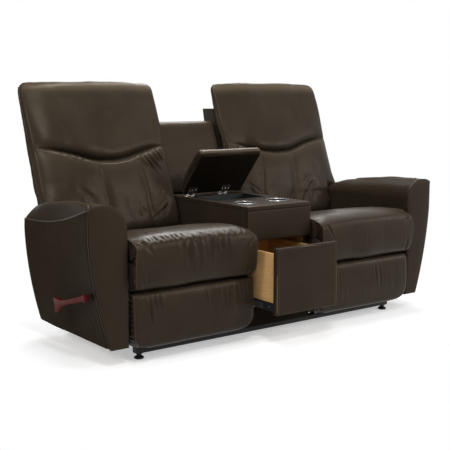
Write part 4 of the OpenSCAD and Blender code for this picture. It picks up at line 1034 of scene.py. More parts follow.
def make_footrests(sizes):
    """Footrest cushions: place = ring + n * (0.007 * (1 - s^6) * bump(z) + folds + unevenness). Towards their
    lower edge they narrow by turn - sqrt(turn^2 - low^2), a quarter circle."""
    profile, _ = spaced(rounded(foot_profile), 180)
    half = (foot_far[0] - foot_near[0]) / 2
    middle = (foot_far[0] + foot_near[0]) / 2
    turn = 0.060

    def x_of(s, z):
        low = np.clip(turn - (z - foot_near[2]), 0, turn)
        shorter = turn - np.sqrt(np.clip(turn ** 2 - low ** 2, 0, None))
        return middle + s * (half - shorter)

    for k, (hand, side) in enumerate(sides.items()):
        rng = np.random.default_rng(11 + k)
        grid, s, shrunk = cushion_grid(profile, x_of, 120, foot_corner, ((-0.016, 0.09), (-0.016, 0.25)),
                                       0.002)
        normal = grid_normals(grid)
        x, y, z = np.moveaxis(grid, 2, 0)
        a = x - middle
        facing = smooth((-normal[:, :, 1] - 0.1) / 0.4) * (shrunk == 0)[:, None]
        ends = (1 - smooth((np.abs(s) - 0.93) / 0.07))[:, None]
        puff = 0.007 * (1 - s[:, None] ** 6) * bump(z, 0.19, 0.10)
        lines = []
        if side < 0:
            gathers, strong = list(np.arange(-0.24, -0.03, 0.022)) + [0.18, 0.2, 0.222], 0.0070
        else:
            gathers, strong = [-0.2, -0.17, 0.07, 0.092, 0.115, 0.2], 0.0024
        for centre in gathers:
            lines += fan(rng, 1, (centre, 0.262), (0.004, 0.004), -90, 7, 0.095, 0.0058, strong)
        lines += fan(rng, 10, (0, 0.10), (0.24, 0.02), 90, 10, 0.07, 0.010, 0.0006)
        wrinkle = folds(a, z, lines) * sizes.fold
        soft = 0.0018 * noise(a * 10, z * 12, 60 + k)
        ribs = 0.0022 * np.sin(z * 330 + 2 * noise(z * 30, a * 0, 6)) * (shrunk > 0.05)[:, None]
        grid = grid + normal * (facing * ends * (wrinkle + soft) + facing * puff)[:, :, None]
        grid[:, :, 0] += ribs * np.sign(s)[:, None]
        piece = surface("footrest_leather_" + hand, grid, side)
        set_wear_and_painted_sheen(piece, 0.3 * bump(z, 0.272, 0.012))
        settle(piece, hand + "_footrest", "leather", [f"footrest_pad_{hand}"])
        for end, label in ((-1, "inner"), (1, "outer")):
            row = np.argmin(np.abs(s - end * (1 - 0.3 * foot_corner / half)) + 10 * (shrunk > 0))
            shown = y[row] < -0.020
            path = grid[row][shown]
            path = evened(path[np.argsort(path[:, 2])], 1, 120)
            welt(f"footrest_welt_{label}_{hand}", path, sizes.welt, hand + "_footrest", side=side)
        rounded_board("footrest_board_" + hand, 0.002, hand + "_footrest", "plywood")


class LOVESEAT_OT_footrests(bpy.types.Operator):
    """Footrest cushions with gathers under their top seam, on their boards"""

    bl_idname = "loveseat.footrests"
    bl_label = "Footrests"

    def execute(self, context):
        make_footrests(context.scene.loveseat_sizes)
        return {"FINISHED"}


# Arms

arm_x0 = near("arm_frame_right")[0]
arm_x1, arm_depth = far("arm_cover_right")[:2]
arm_front_y, arm_low = arm_near[1:]
arm_high = arm_far[2]
arm_panel_t = arm_far[1] - arm_near[1]
arm_inner = arm_x0 - 0.004
crest_x = arm_x0 + 0.094


def arm_side_x(z):
    """Outer face of an arm at a height: upright at the top, curving in to the narrow foot."""
    bend = arm_high - 0.075
    share = np.clip((bend - z) / (bend - arm_low), 0, 1)
    return np.minimum(arm_x1, arm_x1 + 0.002 - 0.084 * share ** 1.8)


def arm_y(t, z):
    """Depth at t from 0, behind the front panel, to 1, the arm's rear edge, which leans forwards."""
    rear = arm_depth - 0.050 * (z - arm_low) / (arm_high - 0.070 - arm_low)
    return mix(arm_front_y + arm_panel_t, rear, t)


def arm_face_x(t, z):
    """Outer face at t and a height: hollowed by 35 mm in its middle, and less towards its edges."""
    hollow = np.clip(np.sin(np.pi * t), 0, 1) ** 0.9 * np.clip(
        np.sin(np.pi * np.clip((z - arm_low) / (arm_high + 0.02 - arm_low), 0, 1)), 0, 1) ** 0.6
    return arm_side_x(z) - 0.035 * hollow


def seam_z(t):
    """Height of the outer seam, which falls by 84 mm towards the rear."""
    return arm_high - 0.018 - 0.084 * np.sin(np.radians(90) * np.clip(t * 1.15, 0, 1)) ** 1.1


def crest_z(t):
    """Height of the arm's crest, which falls by 46 mm towards the rear and rounds off at its end."""
    return arm_high - 0.046 * t ** 1.8 - 0.006 * smooth((t - 0.88) / 0.12)


def shoulder_z(t):
    """Height at which an arm's upright inner side starts to round over: clear of the frame inside."""
    return np.maximum(crest_z(t) - 0.105, arm_high - 0.094)


def arm_top_z(x, t):
    """Height of the arm's top across its width: a quarter ellipse up to the crest, then a roll to the outer
    seam."""
    crest, seam = crest_z(t), seam_z(t)
    seam_x = arm_face_x(t, seam)
    shoulder = shoulder_z(t)
    inner = shoulder + (crest - shoulder) * np.sqrt(np.clip(
        1 - ((crest_x - x) / (crest_x - arm_inner)) ** 2, 0, 1))
    outer = rolled(crest, seam, np.clip((x - crest_x) / (seam_x - crest_x), 0, 1), t)
    return np.where(x < crest_x, inner, outer)


def rolled(crest, seam, down, t):
    """Height of an arm's outer roll: full near the crest, falling steeply to the seam, and flatter at the
    rear end."""
    thin = smooth((t - 0.72) / 0.28)
    return seam + (crest - seam) * np.clip(1 - down ** mix(2.2, 1.25, thin), 0, 1) ** mix(0.62, 0.95, thin)


def arm_outline(t):
    """Places inside the arm's outline at t: u runs outwards, bunched where the inner edge is round, and v
    upwards."""
    def lines(u, v):
        across = np.asarray(u) ** 1.5
        top_x = mix(arm_inner, arm_face_x(t, seam_z(t)), across)
        top = arm_top_z(top_x, t)
        z = mix(arm_low, top, v)
        x = mix(arm_inner, arm_face_x(t, np.minimum(z, seam_z(t))), across)
        return x, z
    return lines


def make_arms(sizes):
    """Both arms: padded front and rear panels, outer cover, top, welts and the frame inside."""
    for k, (hand, side) in enumerate(sides.items()):
        face = panel("arm_front_leather_" + hand, arm_outline(0.0),
                     lambda x, z, d: (x, arm_front_y + d, z), arm_panel_t, 0.005, 0.006, side)
        settle(face, "base", "leather_boards", ["arm_front_" + hand])
        rear = panel("arm_rear_leather_" + hand, arm_outline(1.0),
                     lambda x, z, d: (x, arm_y(1.0, z) + 0.002 - d, z), 0.010, 0.004, 0.003, side)
        settle(rear, "base", "leather_boards")
        make_arm_side(hand, side, k)
        make_arm_top(hand, side, k)
        make_arm_welts(hand, side, sizes)
        rounded_board("arm_frame_" + hand, 0.0015, "base", "plywood")


def make_arm_side(hand, side, k):
    """Outer cover: a sheet over depth and height that is hollow in its middle, made into a thin shell."""
    start = (0.005 - arm_panel_t) / (arm_depth - arm_front_y - arm_panel_t)
    t = np.concatenate([np.linspace(start, 0.06, 16), np.linspace(0.07, 0.985, 90), [0.995, 1.0]])
    tt, vv = np.meshgrid(t, np.linspace(0, 1, 90), indexing="ij")
    z = mix(arm_low, seam_z(tt) - 0.001, vv)
    x = arm_face_x(tt, z)
    x += 0.0008 - 0.011 * (1 - smooth((tt - 0.004) / 0.05))
    x -= 0.004 * (1 - smooth((1 - tt) / 0.015))
    soft = 0.0036 * noise(tt * 4, z * 8, 80 + k) * smooth(tt / 0.1)
    rng = np.random.default_rng(90 + k)
    lines = fan(rng, 2, (0.30, 0.50), (0.2, 0.02), -70, 20, 0.12, 0.022, 0.0012)
    lines += fan(rng, 3, (0.06, 0.11), (0.04, 0.02), 100, 14, 0.09, 0.014, 0.0014)
    x = x + soft + folds(arm_y(tt, z), z, lines)
    outer = points_at(x, arm_y(tt, z), z)
    inner = outer - [0.012, 0, 0]
    piece = surface("arm_side_leather_" + hand, np.concatenate([outer, inner[:, ::-1]], axis=1), side)
    settle(piece, "base", "leather_side", ["arm_cover_" + hand])


def make_arm_top(hand, side, k):
    """Inner face and top of an arm in one sheet: upright beside the seat, over the crest and down to the
    outer seam."""
    # shares of the sheet: it stands up to the first, rounds over up to the second and then falls outwards
    upright, over = 0.45, 0.72
    tt, q = np.meshgrid(np.linspace(0, 1, 110), np.linspace(0, 1, 110), indexing="ij")
    crest, seam = crest_z(tt), seam_z(tt)
    seam_x = arm_face_x(tt, seam)
    foot = arm_low + 0.012
    turn = np.clip((q - upright) / (over - upright), 0, 1) * np.pi / 2
    shoulder = shoulder_z(tt)
    x_round = crest_x - (crest_x - arm_inner) * np.cos(turn)
    z_round = shoulder + (crest - shoulder) * np.sin(turn)
    down = 1 - (1 - np.clip((q - over) / (1 - over), 0, 1)) ** 1.5
    x = np.where(q < upright, arm_inner, np.where(q < over, x_round, mix(crest_x, seam_x, down)))
    z = np.where(q < upright, mix(foot, shoulder, q / upright),
                 np.where(q < over, z_round, rolled(crest, seam, down, tt)))
    crescent = 1 - 0.345 * np.sin(np.pi * tt) ** 0.45
    within = np.clip((q - crescent) / np.maximum(1 - crescent, 0.01), 0, 1)
    full = smooth((1 - crescent) / 0.14) * (0.55 + 0.45 * smooth(tt / 0.7)) * (
        1 - 0.6 * smooth((tt - 0.8) / 0.2))
    puff = full * (0.006 * np.sin(np.pi * within ** 0.62) ** 0.55 - 0.008 * bump(q, crescent, 0.016))
    soft = 0.0022 * noise(tt * 6, q * 8, 50 + k) * smooth(tt / 0.1)
    rng = np.random.default_rng(55 + k)
    lines = fan(rng, 6, (0.04, 0.86), (0.02, 0.08), 10, 20, 0.16, 0.012, 0.0018)
    lines += fan(rng, 4, (0.93, 0.80), (0.03, 0.10), 170, 25, 0.12, 0.012, 0.0016)
    height = puff + soft + folds(tt, q, lines)
    tip = 1 - smooth((q - 0.97) / 0.03)
    x = x + (0.5 * puff - 0.5 * height * np.cos(turn)) * tip
    z = z + height * np.sin(turn) * tip
    y = arm_y(tt, np.minimum(z, seam))
    outer = points_at(x, y, z)
    inner_x = np.where(q < upright, x + 0.003, x + 0.004 * np.cos(turn))
    inner = points_at(inner_x, y, z - 0.010 * np.sin(turn) * (1 - 0.7 * down))
    piece = surface("arm_top_leather_" + hand, np.concatenate([outer, inner[:, ::-1]], axis=1), side)
    # painted highlight: a lighter band along the crest of the arm's roll
    wear = 0.35 * bump(q, 0.76, 0.06) * smooth(tt / 0.05)
    set_wear_and_painted_sheen(piece, np.concatenate([wear, np.zeros_like(q)], axis=1))
    settle(piece, "base", "leather_arm", ["arm_pad_" + hand])


def make_arm_welts(hand, side, sizes):
    """Welts along the front panel's edges, the outer seam and the rear edge, and a thick dark tube over the
    front panel's side face, which paints the shade of the groove behind the panel."""
    turn = np.linspace(0.02, 1, 60)
    seam_x = arm_face_x(0.0, seam_z(0.0))
    x_top = np.concatenate([crest_x - (crest_x - arm_inner) * np.cos(turn * np.pi / 2),
                            np.linspace(crest_x, seam_x, 30)[1:]])
    up = points_at(arm_inner, arm_front_y, np.linspace(arm_low + 0.01, shoulder_z(0.0), 60))
    over = points_at(x_top, arm_front_y, arm_top_z(x_top, 0.0))
    path = evened(np.concatenate([up, over]) + [0, 0.004, 0], 2, 220)
    # painted shade: this welt is made in the darker shell leather so that it reads as the shaded seam along
    # the panel's top and inner edge
    welt("arm_front_welt_" + hand, path, sizes.welt * 0.7, "base", "leather_shell", side=side)
    # painted shade: a thick dark tube over the panel's outer edge stands for the shadowed groove between the
    # panel and the outer cover
    z = np.linspace(arm_low + 0.01, seam_z(0.0) - 0.003, 90)
    path = points_at(arm_face_x(0.0, z) - 0.0078, arm_front_y + 0.0122, z)
    welt("arm_edge_welt_" + hand, path, 0.0096, "base", "lining", "leather_dark", side)
    t = np.linspace(0.0, 1.0, 120)
    path = points_at(arm_face_x(t, seam_z(t)) + 0.0005, arm_y(t, seam_z(t)), seam_z(t))
    welt("arm_seam_welt_" + hand, path, sizes.welt * 1.2, "base", side=side)
    z = np.linspace(arm_low + 0.004, seam_z(1.0), 80)
    path = points_at(arm_face_x(1.0, z), arm_y(1.0, z) + 0.001, z)
    welt("arm_rear_welt_" + hand, path, sizes.welt, "base", "leather_boards", side=side)


class LOVESEAT_OT_arms(bpy.types.Operator):
    """Arms: padded fronts, hollowed outer covers, rolled tops and welts"""

    bl_idname = "loveseat.arms"
    bl_label = "Arms"

    def execute(self, context):
        make_arms(context.scene.loveseat_sizes)
        return {"FINISHED"}


# Console

def board_lines(low_a, high_a, low_b, high_b):
    """Places in a rectangle's plane, for panel()."""
    return lambda u, v: (mix(low_a, high_a, np.asarray(u)), mix(low_b, high_b, np.asarray(v)))


def make_console(sizes):
    """Console: padded apron, boards, bin, seams, cup rims and the middle back."""
    low, high = near("console_apron"), far("console_apron")
    apron = panel("apron_leather", board_lines(low[0], high[0], low[2], deck_top - 0.0165),
                  lambda x, z, d: (x, low[1] + d, z), high[1] - low[1], 0.006, 0.002)
    settle(apron, "base", "leather_boards", ["console_apron"])
    for node, width, material, slot in (("console_deck", 0.0045, "leather_boards", "leather"),
                                        ("console_sides", 0.004, "leather_boards", "leather"),
                                        ("kick_panel", 0.003, "lining", "leather_dark"),
                                        ("storage_bin", 0.0008, "black_plastic", "black_plastic"),
                                        ("middle_back_panel", 0.003, "leather_shell", "leather_dark")):
        rounded_board(node, width, "base", material)
    make_console_seams(sizes)
    make_inner_boards()
    make_cup_holders()
    make_middle_back()


def make_console_seams(sizes):
    """Welts along the deck's front and side edges, with a row of stitches inside them."""
    x = console_x - 0.002
    rear = far("console_deck")[1] - 0.05
    corner = [(-x, rear), (-x, 0.030), (-x + 0.004, 0.006), (-x + 0.028, 0.002), (x - 0.028, 0.002),
              (x - 0.004, 0.006), (x, 0.030), (x, rear)]
    path = evened(corner, 2, 260)
    welt("deck_welt", points_at(*path.T, deck_top - 0.0015), sizes.welt * 0.9, "base")
    inner = points_at(*(path * [0.955, 1] + [0, 0.007]).T, deck_top + 0.0004)
    settle(stitches("deck_stitches", inner, sizes.stitch), "base", "thread")
    z = np.linspace(apron_low + 0.006, deck_top - 0.02, 40)
    for number, x_edge in enumerate((-console_x + 0.001, console_x - 0.001)):
        welt(f"apron_welt_{number}", points_at(x_edge, 0.003, z), sizes.welt * 0.9, "base")


def make_inner_boards():
    """Bare boards on the inner faces of the console's sides, seen through the drawer's gap."""
    inner = console_x - 0.018
    z0, z1 = near("console_sides")[2] + 0.01, deck_top - 0.017
    y0, y1 = 0.030, 0.56
    for hand, side in sides.items():
        board = panel("console_liner_" + hand, board_lines(y0, y1, z0, z1),
                      lambda y, z, d: (inner - 0.0006 + d, y, z), 0.0005, 0.0004, 0.0, side)
        settle(board, "base", "plywood")


def make_cup_holders():
    """A bright rolled rim on each packed cup. The rim is open, so its two end faces go."""
    for hand in sides:
        low, high = near("cup_holder_" + hand), far("cup_holder_" + hand)
        x, y = (low[0] + high[0]) / 2, (low[1] + high[1]) / 2
        r, top = (high[0] - low[0]) / 2, high[2]
        profile = [(r - 0.0052, top - 0.0010), (r - 0.0044, top + 0.0003), (r - 0.0030, top + 0.0006),
                   (r - 0.0014, top + 0.0003), (r - 0.0004, top - 0.0006), (r, top - 0.0016)]
        rim = lathe("cup_rim_" + hand, profile, [(x, y, 0)], around=72)
        b = bmesh.new()
        b.from_mesh(rim.data)
        bmesh.ops.delete(b, geom=[f for f in b.faces if len(f.verts) > 4], context="FACES_ONLY")
        b.to_mesh(rim.data)
        b.free()
        settle(rim, "base", "chrome")
        paint("mechanism_steel", "cup_holder_" + hand)


def middle_line(z):
    """Depth of the middle back's padded front at a height."""
    return 0.590 + 0.378 * (z - 0.559)


def make_middle_back():
    """Middle back pad: place = ring + n * (0.008 * (1 - s^4) * bump(z) + folds + unevenness)."""
    _, rear, top = far("middle_back_pad") - [0, 0.003, 0]
    profile = [(middle_line(0.562) + 0.010, 0.562), (middle_line(0.60), 0.60), (middle_line(0.68), 0.68),
               (middle_line(0.76), 0.76), (middle_line(0.83), 0.83), (middle_line(0.862), 0.866),
               (middle_line(0.86) + 0.022, top + 0.002), (rear - 0.018, top + 0.002), (rear, top - 0.010),
               (rear, 0.8615), (middle_line(0.86) + 0.035, 0.8615), (middle_line(0.562) + 0.035, 0.562)]
    outline, _ = spaced(rounded(profile), 170)
    half = console_x - 0.002
    grid, s, shrunk = cushion_grid(outline, lambda s, z: s * half, 80, 0.012,
                                   ((0.615, 0.60), (0.745, 0.87)), 0.001)
    normal = grid_normals(grid)
    x, z = grid[:, :, 0], grid[:, :, 2]
    facing = smooth((-normal[:, :, 1] - 0.2) / 0.4) * (shrunk == 0)[:, None]
    rng = np.random.default_rng(5)
    lines = fan(rng, 8, (0, 0.60), (0.13, 0.02), 88, 14, 0.09, 0.009, 0.0016)
    height = (0.008 * (1 - s[:, None] ** 4) * bump(z, 0.72, 0.12) + folds(x, z, lines)
              + 0.0015 * noise(x * 12, z * 12, 3)) * facing
    grid = grid + normal * height[:, :, None]
    piece = surface("middle_back_leather", grid)
    set_wear_and_painted_sheen(piece, 0.4 * bump(z, top, 0.012))
    settle(piece, "base", "leather", ["middle_back_pad"])


class LOVESEAT_OT_console(bpy.types.Operator):
    """Console: apron, deck, sides, bin, cup holders and the middle back"""

    bl_idname = "loveseat.console"
    bl_label = "Console"

    def execute(self, context):
        make_console(context.scene.loveseat_sizes)
        return {"FINISHED"}


# Lid

def opened(points):
    """Turns places on the shut lid to where it stands, about its hinge axis."""
    hinge = joint("lid_hinge")
    angle = math.radians(hinge["range_deg"][0])
    y0, z0 = hinge["pos_m"][1] - front, hinge["pos_m"][2]
    y, z = points[..., 1] - y0, points[..., 2] - z0
    return points_at(points[..., 0], y0 + y * math.cos(angle) - z * math.sin(angle),
                     z0 + y * math.sin(angle) + z * math.cos(angle))


def make_lid(sizes):
    """Lid pad: place = ring + n * (0.004 * (1 - s^4) * bump(y) + folds + unevenness), drawn shut and turned
    about its hinge to where the lid stands."""
    depth = 0.246
    y1 = joint("lid_hinge")["pos_m"][1] - front - 0.004
    y0 = y1 - depth
    z0, z1 = deck_top + 0.0133, deck_top + 0.045
    profile = [(y0 + 0.004, z0), (y0, z0 + 0.004), (y0 - 0.001, z0 + 0.016), (y0 + 0.003, z1 - 0.003),
               (y0 + 0.020, z1 + 0.003), (y0 + 0.08, z1 + 0.007), (y0 + 0.17, z1 + 0.007),
               (y1 - 0.03, z1 + 0.003), (y1 - 0.004, z1 - 0.004), (y1, z1 - 0.016),
               (y1 - 0.001, z0 + 0.004), (y1 - 0.006, z0)]
    outline, _ = spaced(rounded(profile), 170)
    grid, s, shrunk = cushion_grid(outline, lambda s, z: s * console_x, 80, 0.011,
                                   ((y0 + 0.02, (z0 + z1) / 2), (y1 - 0.02, (z0 + z1) / 2)), 0.001)
    normal = grid_normals(grid)
    x, y, _ = np.moveaxis(grid, 2, 0)
    rng = np.random.default_rng(8)
    lines = fan(rng, 8, (0, y0 + 0.02), (0.13, 0.01), 90, 16, 0.05, 0.007, 0.0012)
    up = smooth((normal[:, :, 2] - 0.2) / 0.4) * (shrunk == 0)[:, None]
    height = (0.004 * (1 - s[:, None] ** 4) * bump(y, (y0 + y1) / 2, 0.08) + folds(x, y, lines)
              + 0.001 * noise(x * 14, y * 14, 4)) * up
    grid = grid + normal * height[:, :, None]
    piece = surface("lid_leather", opened(grid))
    # front edge lightened: rubbed leather, and a painted highlight on its roll
    set_wear_and_painted_sheen(piece, 0.55 * bump(y, y0, 0.012))
    settle(piece, "lid", "leather", ["lid_pad"])
    rounded_board("lid_board", 0.0015, "lid", "lining")
    edge_x = console_x - 0.004
    rim = [(-edge_x, y1 - 0.01), (-edge_x, y0 + 0.006), (edge_x, y0 + 0.006), (edge_x, y1 - 0.01)]
    path = opened(points_at(*evened(rim, 3, 200).T, z0 + 0.001))
    welt("lid_welt", path, sizes.welt * 0.9, "lid")
    make_hinge_screws(y1)
    paint("chrome", "lid_hinges_fixed", "lid_hinges_moving")


screw_head = [(0.0001, 0.0014), (0.0016, 0.0013), (0.0030, 0.0008), (0.0036, 0.0), (0.0036, -0.0006)]


def make_hinge_screws(lid_rear):
    """Raised screw heads in the hinge leaves: six on the lid's, six on the deck's."""
    low, high = near("lid_hinges_fixed"), far("lid_hinges_fixed")
    length = 0.050
    across = [x + dx for x in (low[0] + length / 2, high[0] - length / 2) for dx in (-0.017, 0.0, 0.017)]
    leaf_top = deck_top + 0.002
    deck_places = [(x, high[1] - 0.008, leaf_top) for x in across]
    piece = lathe("deck_hinge_screws", screw_head[::-1], deck_places, around=14)
    settle(piece, "base", "bright_steel")
    lid_places = [(x, lid_rear - 0.024, leaf_top) for x in across]
    piece = lathe("lid_hinge_screws", [(r, -h) for r, h in screw_head], lid_places, around=14)
    turn_in_place(piece)
    settle(piece, "lid", "bright_steel")


def turn_in_place(piece):
    """Turns a mesh drawn on the shut lid to where the lid stands."""
    co = np.zeros(len(piece.data.vertices) * 3)
    piece.data.vertices.foreach_get("co", co)
    co = opened(co.reshape(-1, 3) - [0, front, 0]) + [0, front, 0]
    piece.data.vertices.foreach_set("co", co.astype(np.float32).ravel())
    piece.data.update()


class LOVESEAT_OT_lid(bpy.types.Operator):
    """Padded lid on its board, with hinges and their screws"""

    bl_idname = "loveseat.lid"
    bl_label = "Lid"

    def execute(self, context):
        make_lid(context.scene.loveseat_sizes)
        return {"FINISHED"}


# Drawer

def make_drawer(sizes):
    """Padded front with a welt and two rows of stitches, the birch box and the slides' screws."""
    low, high = near("drawer_front"), far("drawer_front")
    face = panel("drawer_front_leather", board_lines(low[0], high[0], low[2], high[2]),
                 lambda x, z, d: (x, low[1] + d, z), high[1] - low[1], 0.005, 0.0015)
    settle(face, "drawer", "leather_boards", ["drawer_front"])
    rounded_board("drawer_box", 0.0012, "drawer", "birch")
    inset = 0.003
    corner = [(low[0] + inset, low[2] + 0.01), (low[0] + inset, high[2] - inset),
              (high[0] - inset, high[2] - inset), (high[0] - inset, low[2] + 0.01)]
    path = evened(corner, 3, 260)
    path = points_at(path[:, 0], low[1] + 0.0015, path[:, 1])
    welt("drawer_welt", path, sizes.welt * 0.75, "drawer", "thread")
    z = np.linspace(low[2] + 0.008, high[2] - 0.012, 60)
    for number, x in enumerate((high[0] - 0.013, low[0] + 0.013)):
        path = points_at(x, low[1] - 0.0005, z)
        settle(stitches(f"drawer_stitches_{number}", path, sizes.stitch), "drawer", "thread")
    make_drawer_screws()


def make_drawer_screws():
    """Screws that hold the slides to the drawer box and the console's sides."""
    low, high = near("slides_drawer"), far("slides_drawer")
    height = (low[2] + high[2]) / 2
    places = [(high[0] + 0.0002, y, height) for y in np.linspace(low[1] + 0.05, high[1] - 0.05, 4)]
    head = [(0.0026, -0.0016), (0.0026, 0.0), (0.0018, 0.0002), (0.0001, 0.0002)]
    for hand, side in sides.items():
        settle(lathe("slide_screws_" + hand, head, places, axis="x", around=12, side=side), "drawer",
               "bright_steel")


class LOVESEAT_OT_drawer(bpy.types.Operator):
    """Drawer: upholstered front, birch box and its slides' screws"""

    bl_idname = "loveseat.drawer"
    bl_label = "Drawer"

    def execute(self, context):
        make_drawer(context.scene.loveseat_sizes)
        return {"FINISHED"}


# Handles, base and mechanism

def make_handles():
    """Handles, each with a turned plug on its outer face and a collar on its inner one."""
    inner, outer = near("handle_right")[0], far("handle_right")[0]
    plug = [(0.0142, -0.004), (0.0142, 0.0012), (0.0132, 0.0028), (0.0102, 0.0040), (0.0052, 0.0047),
            (0.0001, 0.0049)]
    collar = [(0.0150, -0.013), (0.0140, -0.006), (0.0125, -0.002), (0.0125, 0.0)]
    for hand, side in sides.items():
        body = hand + "_drive"
        rounded_board("handle_" + hand, 0.0055, body, "cherry", 5)
        for name, profile, x, material, slot in (
                ("plug", plug, outer, "cherry", "handle_wood"),
                ("collar", collar, inner, "black_plastic", "black_plastic")):
            piece = lathe(f"handle_{name}_{hand}", profile, [(x, *shaft[1:])], axis="x", around=28, side=side)
            settle(piece, body, material)


def make_base():
    """Rails, turned glides and eight hexagon bolts above the rails."""
    rounded_board("base_rails", 0.003, "base", "black_steel")
    rounded_board("mechanism_rails", 0.002, "base", "mechanism_steel")
    low, high = near("floor_glides"), far("floor_glides")
    r = 0.020
    profile = [(0.0001, 0.0), (r - 0.004, 0.0), (r - 0.001, 0.0015), (r, 0.004), (r - 0.001, 0.008),
               (r - 0.006, 0.0105), (0.012, 0.012), (0.010, 0.014), (0.010, 0.020), (0.014, 0.0205),
               (0.014, high[2] - 0.0002), (0.0001, high[2] - 0.0002)]
    places = [(x, y, 0) for x in (low[0] + r, high[0] - r) for y in (low[1] + r, high[1] - r)]
    glides = lathe("floor_glides_turned", profile, places, around=40)
    settle(glides, "base", "black_plastic", ["floor_glides"])
    rail_x, _, top = far("base_rails")
    bolts = [(side * x, y, top + 0.030) for side in (-1, 1) for x in (rail_x - 0.010, 0.224)
             for y in (low[1] + r, high[1] - r)]
    hexagon = [(0.0001, 0.0055), (0.0062, 0.0055), (0.0070, 0.0045), (0.0070, 0.0), (0.0105, 0.0),
               (0.0105, -0.0014)]
    heads = lathe("rail_bolts", hexagon[::-1], bolts, around=6)
    heads.data.polygons.foreach_set("use_smooth", np.zeros(len(heads.data.polygons), bool))
    settle(heads, "base", "bright_steel")


def make_rivets():
    """Domed rivet heads on the outer faces of the links' pivots, on the body that each pin belongs to."""
    middle = (seat_near[0] + seat_far[0]) / 2
    dome = [(0.0085, 0.0), (0.0080, 0.0012), (0.0055, 0.0026), (0.0001, 0.0032)]
    pivots = (("base", "right_rear_link", "base", 0.216),
              ("drive_rods", "right_drive_rod", "{}_drive", 0.1870),
              ("rear_links", "right_front_link", "{}_rear_links", 0.2015),
              ("front_links", "right_footrest_pivot", "{}_front_links", 0.1965))
    for label, pivot, body, offset in pivots:
        _, y, z = joint(pivot)["pos_m"]
        outwards = 1 if label == "base" else -1
        for hand, side in sides.items():
            for inner in (-1, 1):
                shape = [(r, h * outwards * inner) for r, h in dome]
                place = (middle + inner * offset, y - front, z)
                rivet = lathe(f"rivet_{label}_{inner + 1}_{hand}", shape, [place], "x", 18, side)
                settle(rivet, body.format(hand), "bright_steel")


def make_springs():
    """Zigzag springs of round wire, each following a sine of the strip that it stands for."""
    low, high = near("seat_springs_right"), far("seat_springs_right")
    level = (low[2] + high[2]) / 2
    y = np.linspace(low[1] + 0.004, high[1] - 0.004, 420)
    count = 4
    half = (high[0] - low[0]) / 2 - 0.021
    middle = (high[0] + low[0]) / 2
    for hand, side in sides.items():
        for number in range(count):
            x0 = middle + half * (2 * number / (count - 1) - 1)
            phase = (y - y[0]) / (y[-1] - y[0]) * 28 * math.pi / 2 + math.pi / 4
            x = x0 + 0.018 * np.sin(phase) * 1.35 / (1 + 0.35 * np.sin(phase) ** 2)
            wire = tube(f"seat_spring_{number}_{hand}", points_at(x, y, level), 0.0019, side)
            replaced = ["seat_springs_" + hand] if number == 0 else []
            settle(wire, hand + "_seat", "bright_steel", replaced)


class LOVESEAT_OT_metalwork(bpy.types.Operator):
    """Handles, base rails, glides, springs, rivets and bolts"""

    bl_idname = "loveseat.metalwork"
    bl_label = "Metalwork"

    def execute(self, context):
        make_handles()
        make_base()
        make_rivets()
        make_springs()
        for hand in sides:
            rounded_board("seat_frame_" + hand, 0.002, hand + "_seat", "plywood")
        paint("mechanism_steel", "mechanism_side_plates", "slides_middle",
              *(f"{part}_{hand}" for hand in sides for part in (
                  "torque_shaft", "drive_rods", "rear_links", "front_links", "footrest_brackets",
                  "seat_brackets")))
        paint("black_steel", "slides_fixed", "slides_drawer")
        return {"FINISHED"}


# Stage

def make_stage():
    """White sweep, soft boxes and the photograph's camera."""
    scene = bpy.context.scene
    scene.view_settings.view_transform = "Standard"
    floor = make_object("floor", [(-14, -14, 0), (14, -14, 0), (14, 14, 0), (-14, 14, 0)], [(0, 1, 2, 3)],
                        smooth_shade=False, closed=False)
    floor.data.materials.append(floor_material())
    scene.world = white_world()
    soft_box("edge light", (1.10, 1.45, 2.5), (-0.3, 0.0, 0.5), 1.6, 0.85, 44)
    soft_box("front strip", (1.75, -3.0, 1.85), (-0.3, 0.3, 0.7), 0.40, 1.7, 34)
    soft_box("right strip", (3.3, -2.3, 1.7), (0.4, 0.3, 0.7), 0.40, 1.5, 22)
    soft_box("key light", (-1.3, -2.4, 3.2), (-0.2, 0.3, 0.7), 0.6, 0.5, 40)
    soft_box("top light", (0.2, 0.1, 3.0), (0, 0.5, 1.0), 2.4, 0.3, 52)
    soft_box("left light", (-3.2, -0.7, 1.9), (0, 0.3, 0.5), 0.35, 1.0, 26)

    focal_px, picture_px, sensor_mm = 893.16, 450, 36
    camera = bpy.data.objects.new("camera", bpy.data.cameras.new("camera"))
    scene.collection.objects.link(camera)
    camera.data.sensor_width = sensor_mm
    camera.data.lens = focal_px * sensor_mm / picture_px
    camera.location = (-2.4311, -2.8565 + front, 1.0153)
    camera.rotation_euler = (math.radians(90 - 8.271), 0, math.radians(-36.808))
    scene.camera = camera


def seen_ray(nodes, links):
    """1 for camera, glossy and transmission rays, which show the white background."""
    path = nodes.new("ShaderNodeLightPath")
    either = path.outputs["Is Camera Ray"]
    for label in ("Is Glossy Ray", "Is Transmission Ray"):
        node = nodes.new("ShaderNodeMath")
        node.operation = "MAXIMUM"
        links.new(either, node.inputs[0])
        links.new(path.outputs[label], node.inputs[1])
        either = node.outputs[0]
    return either


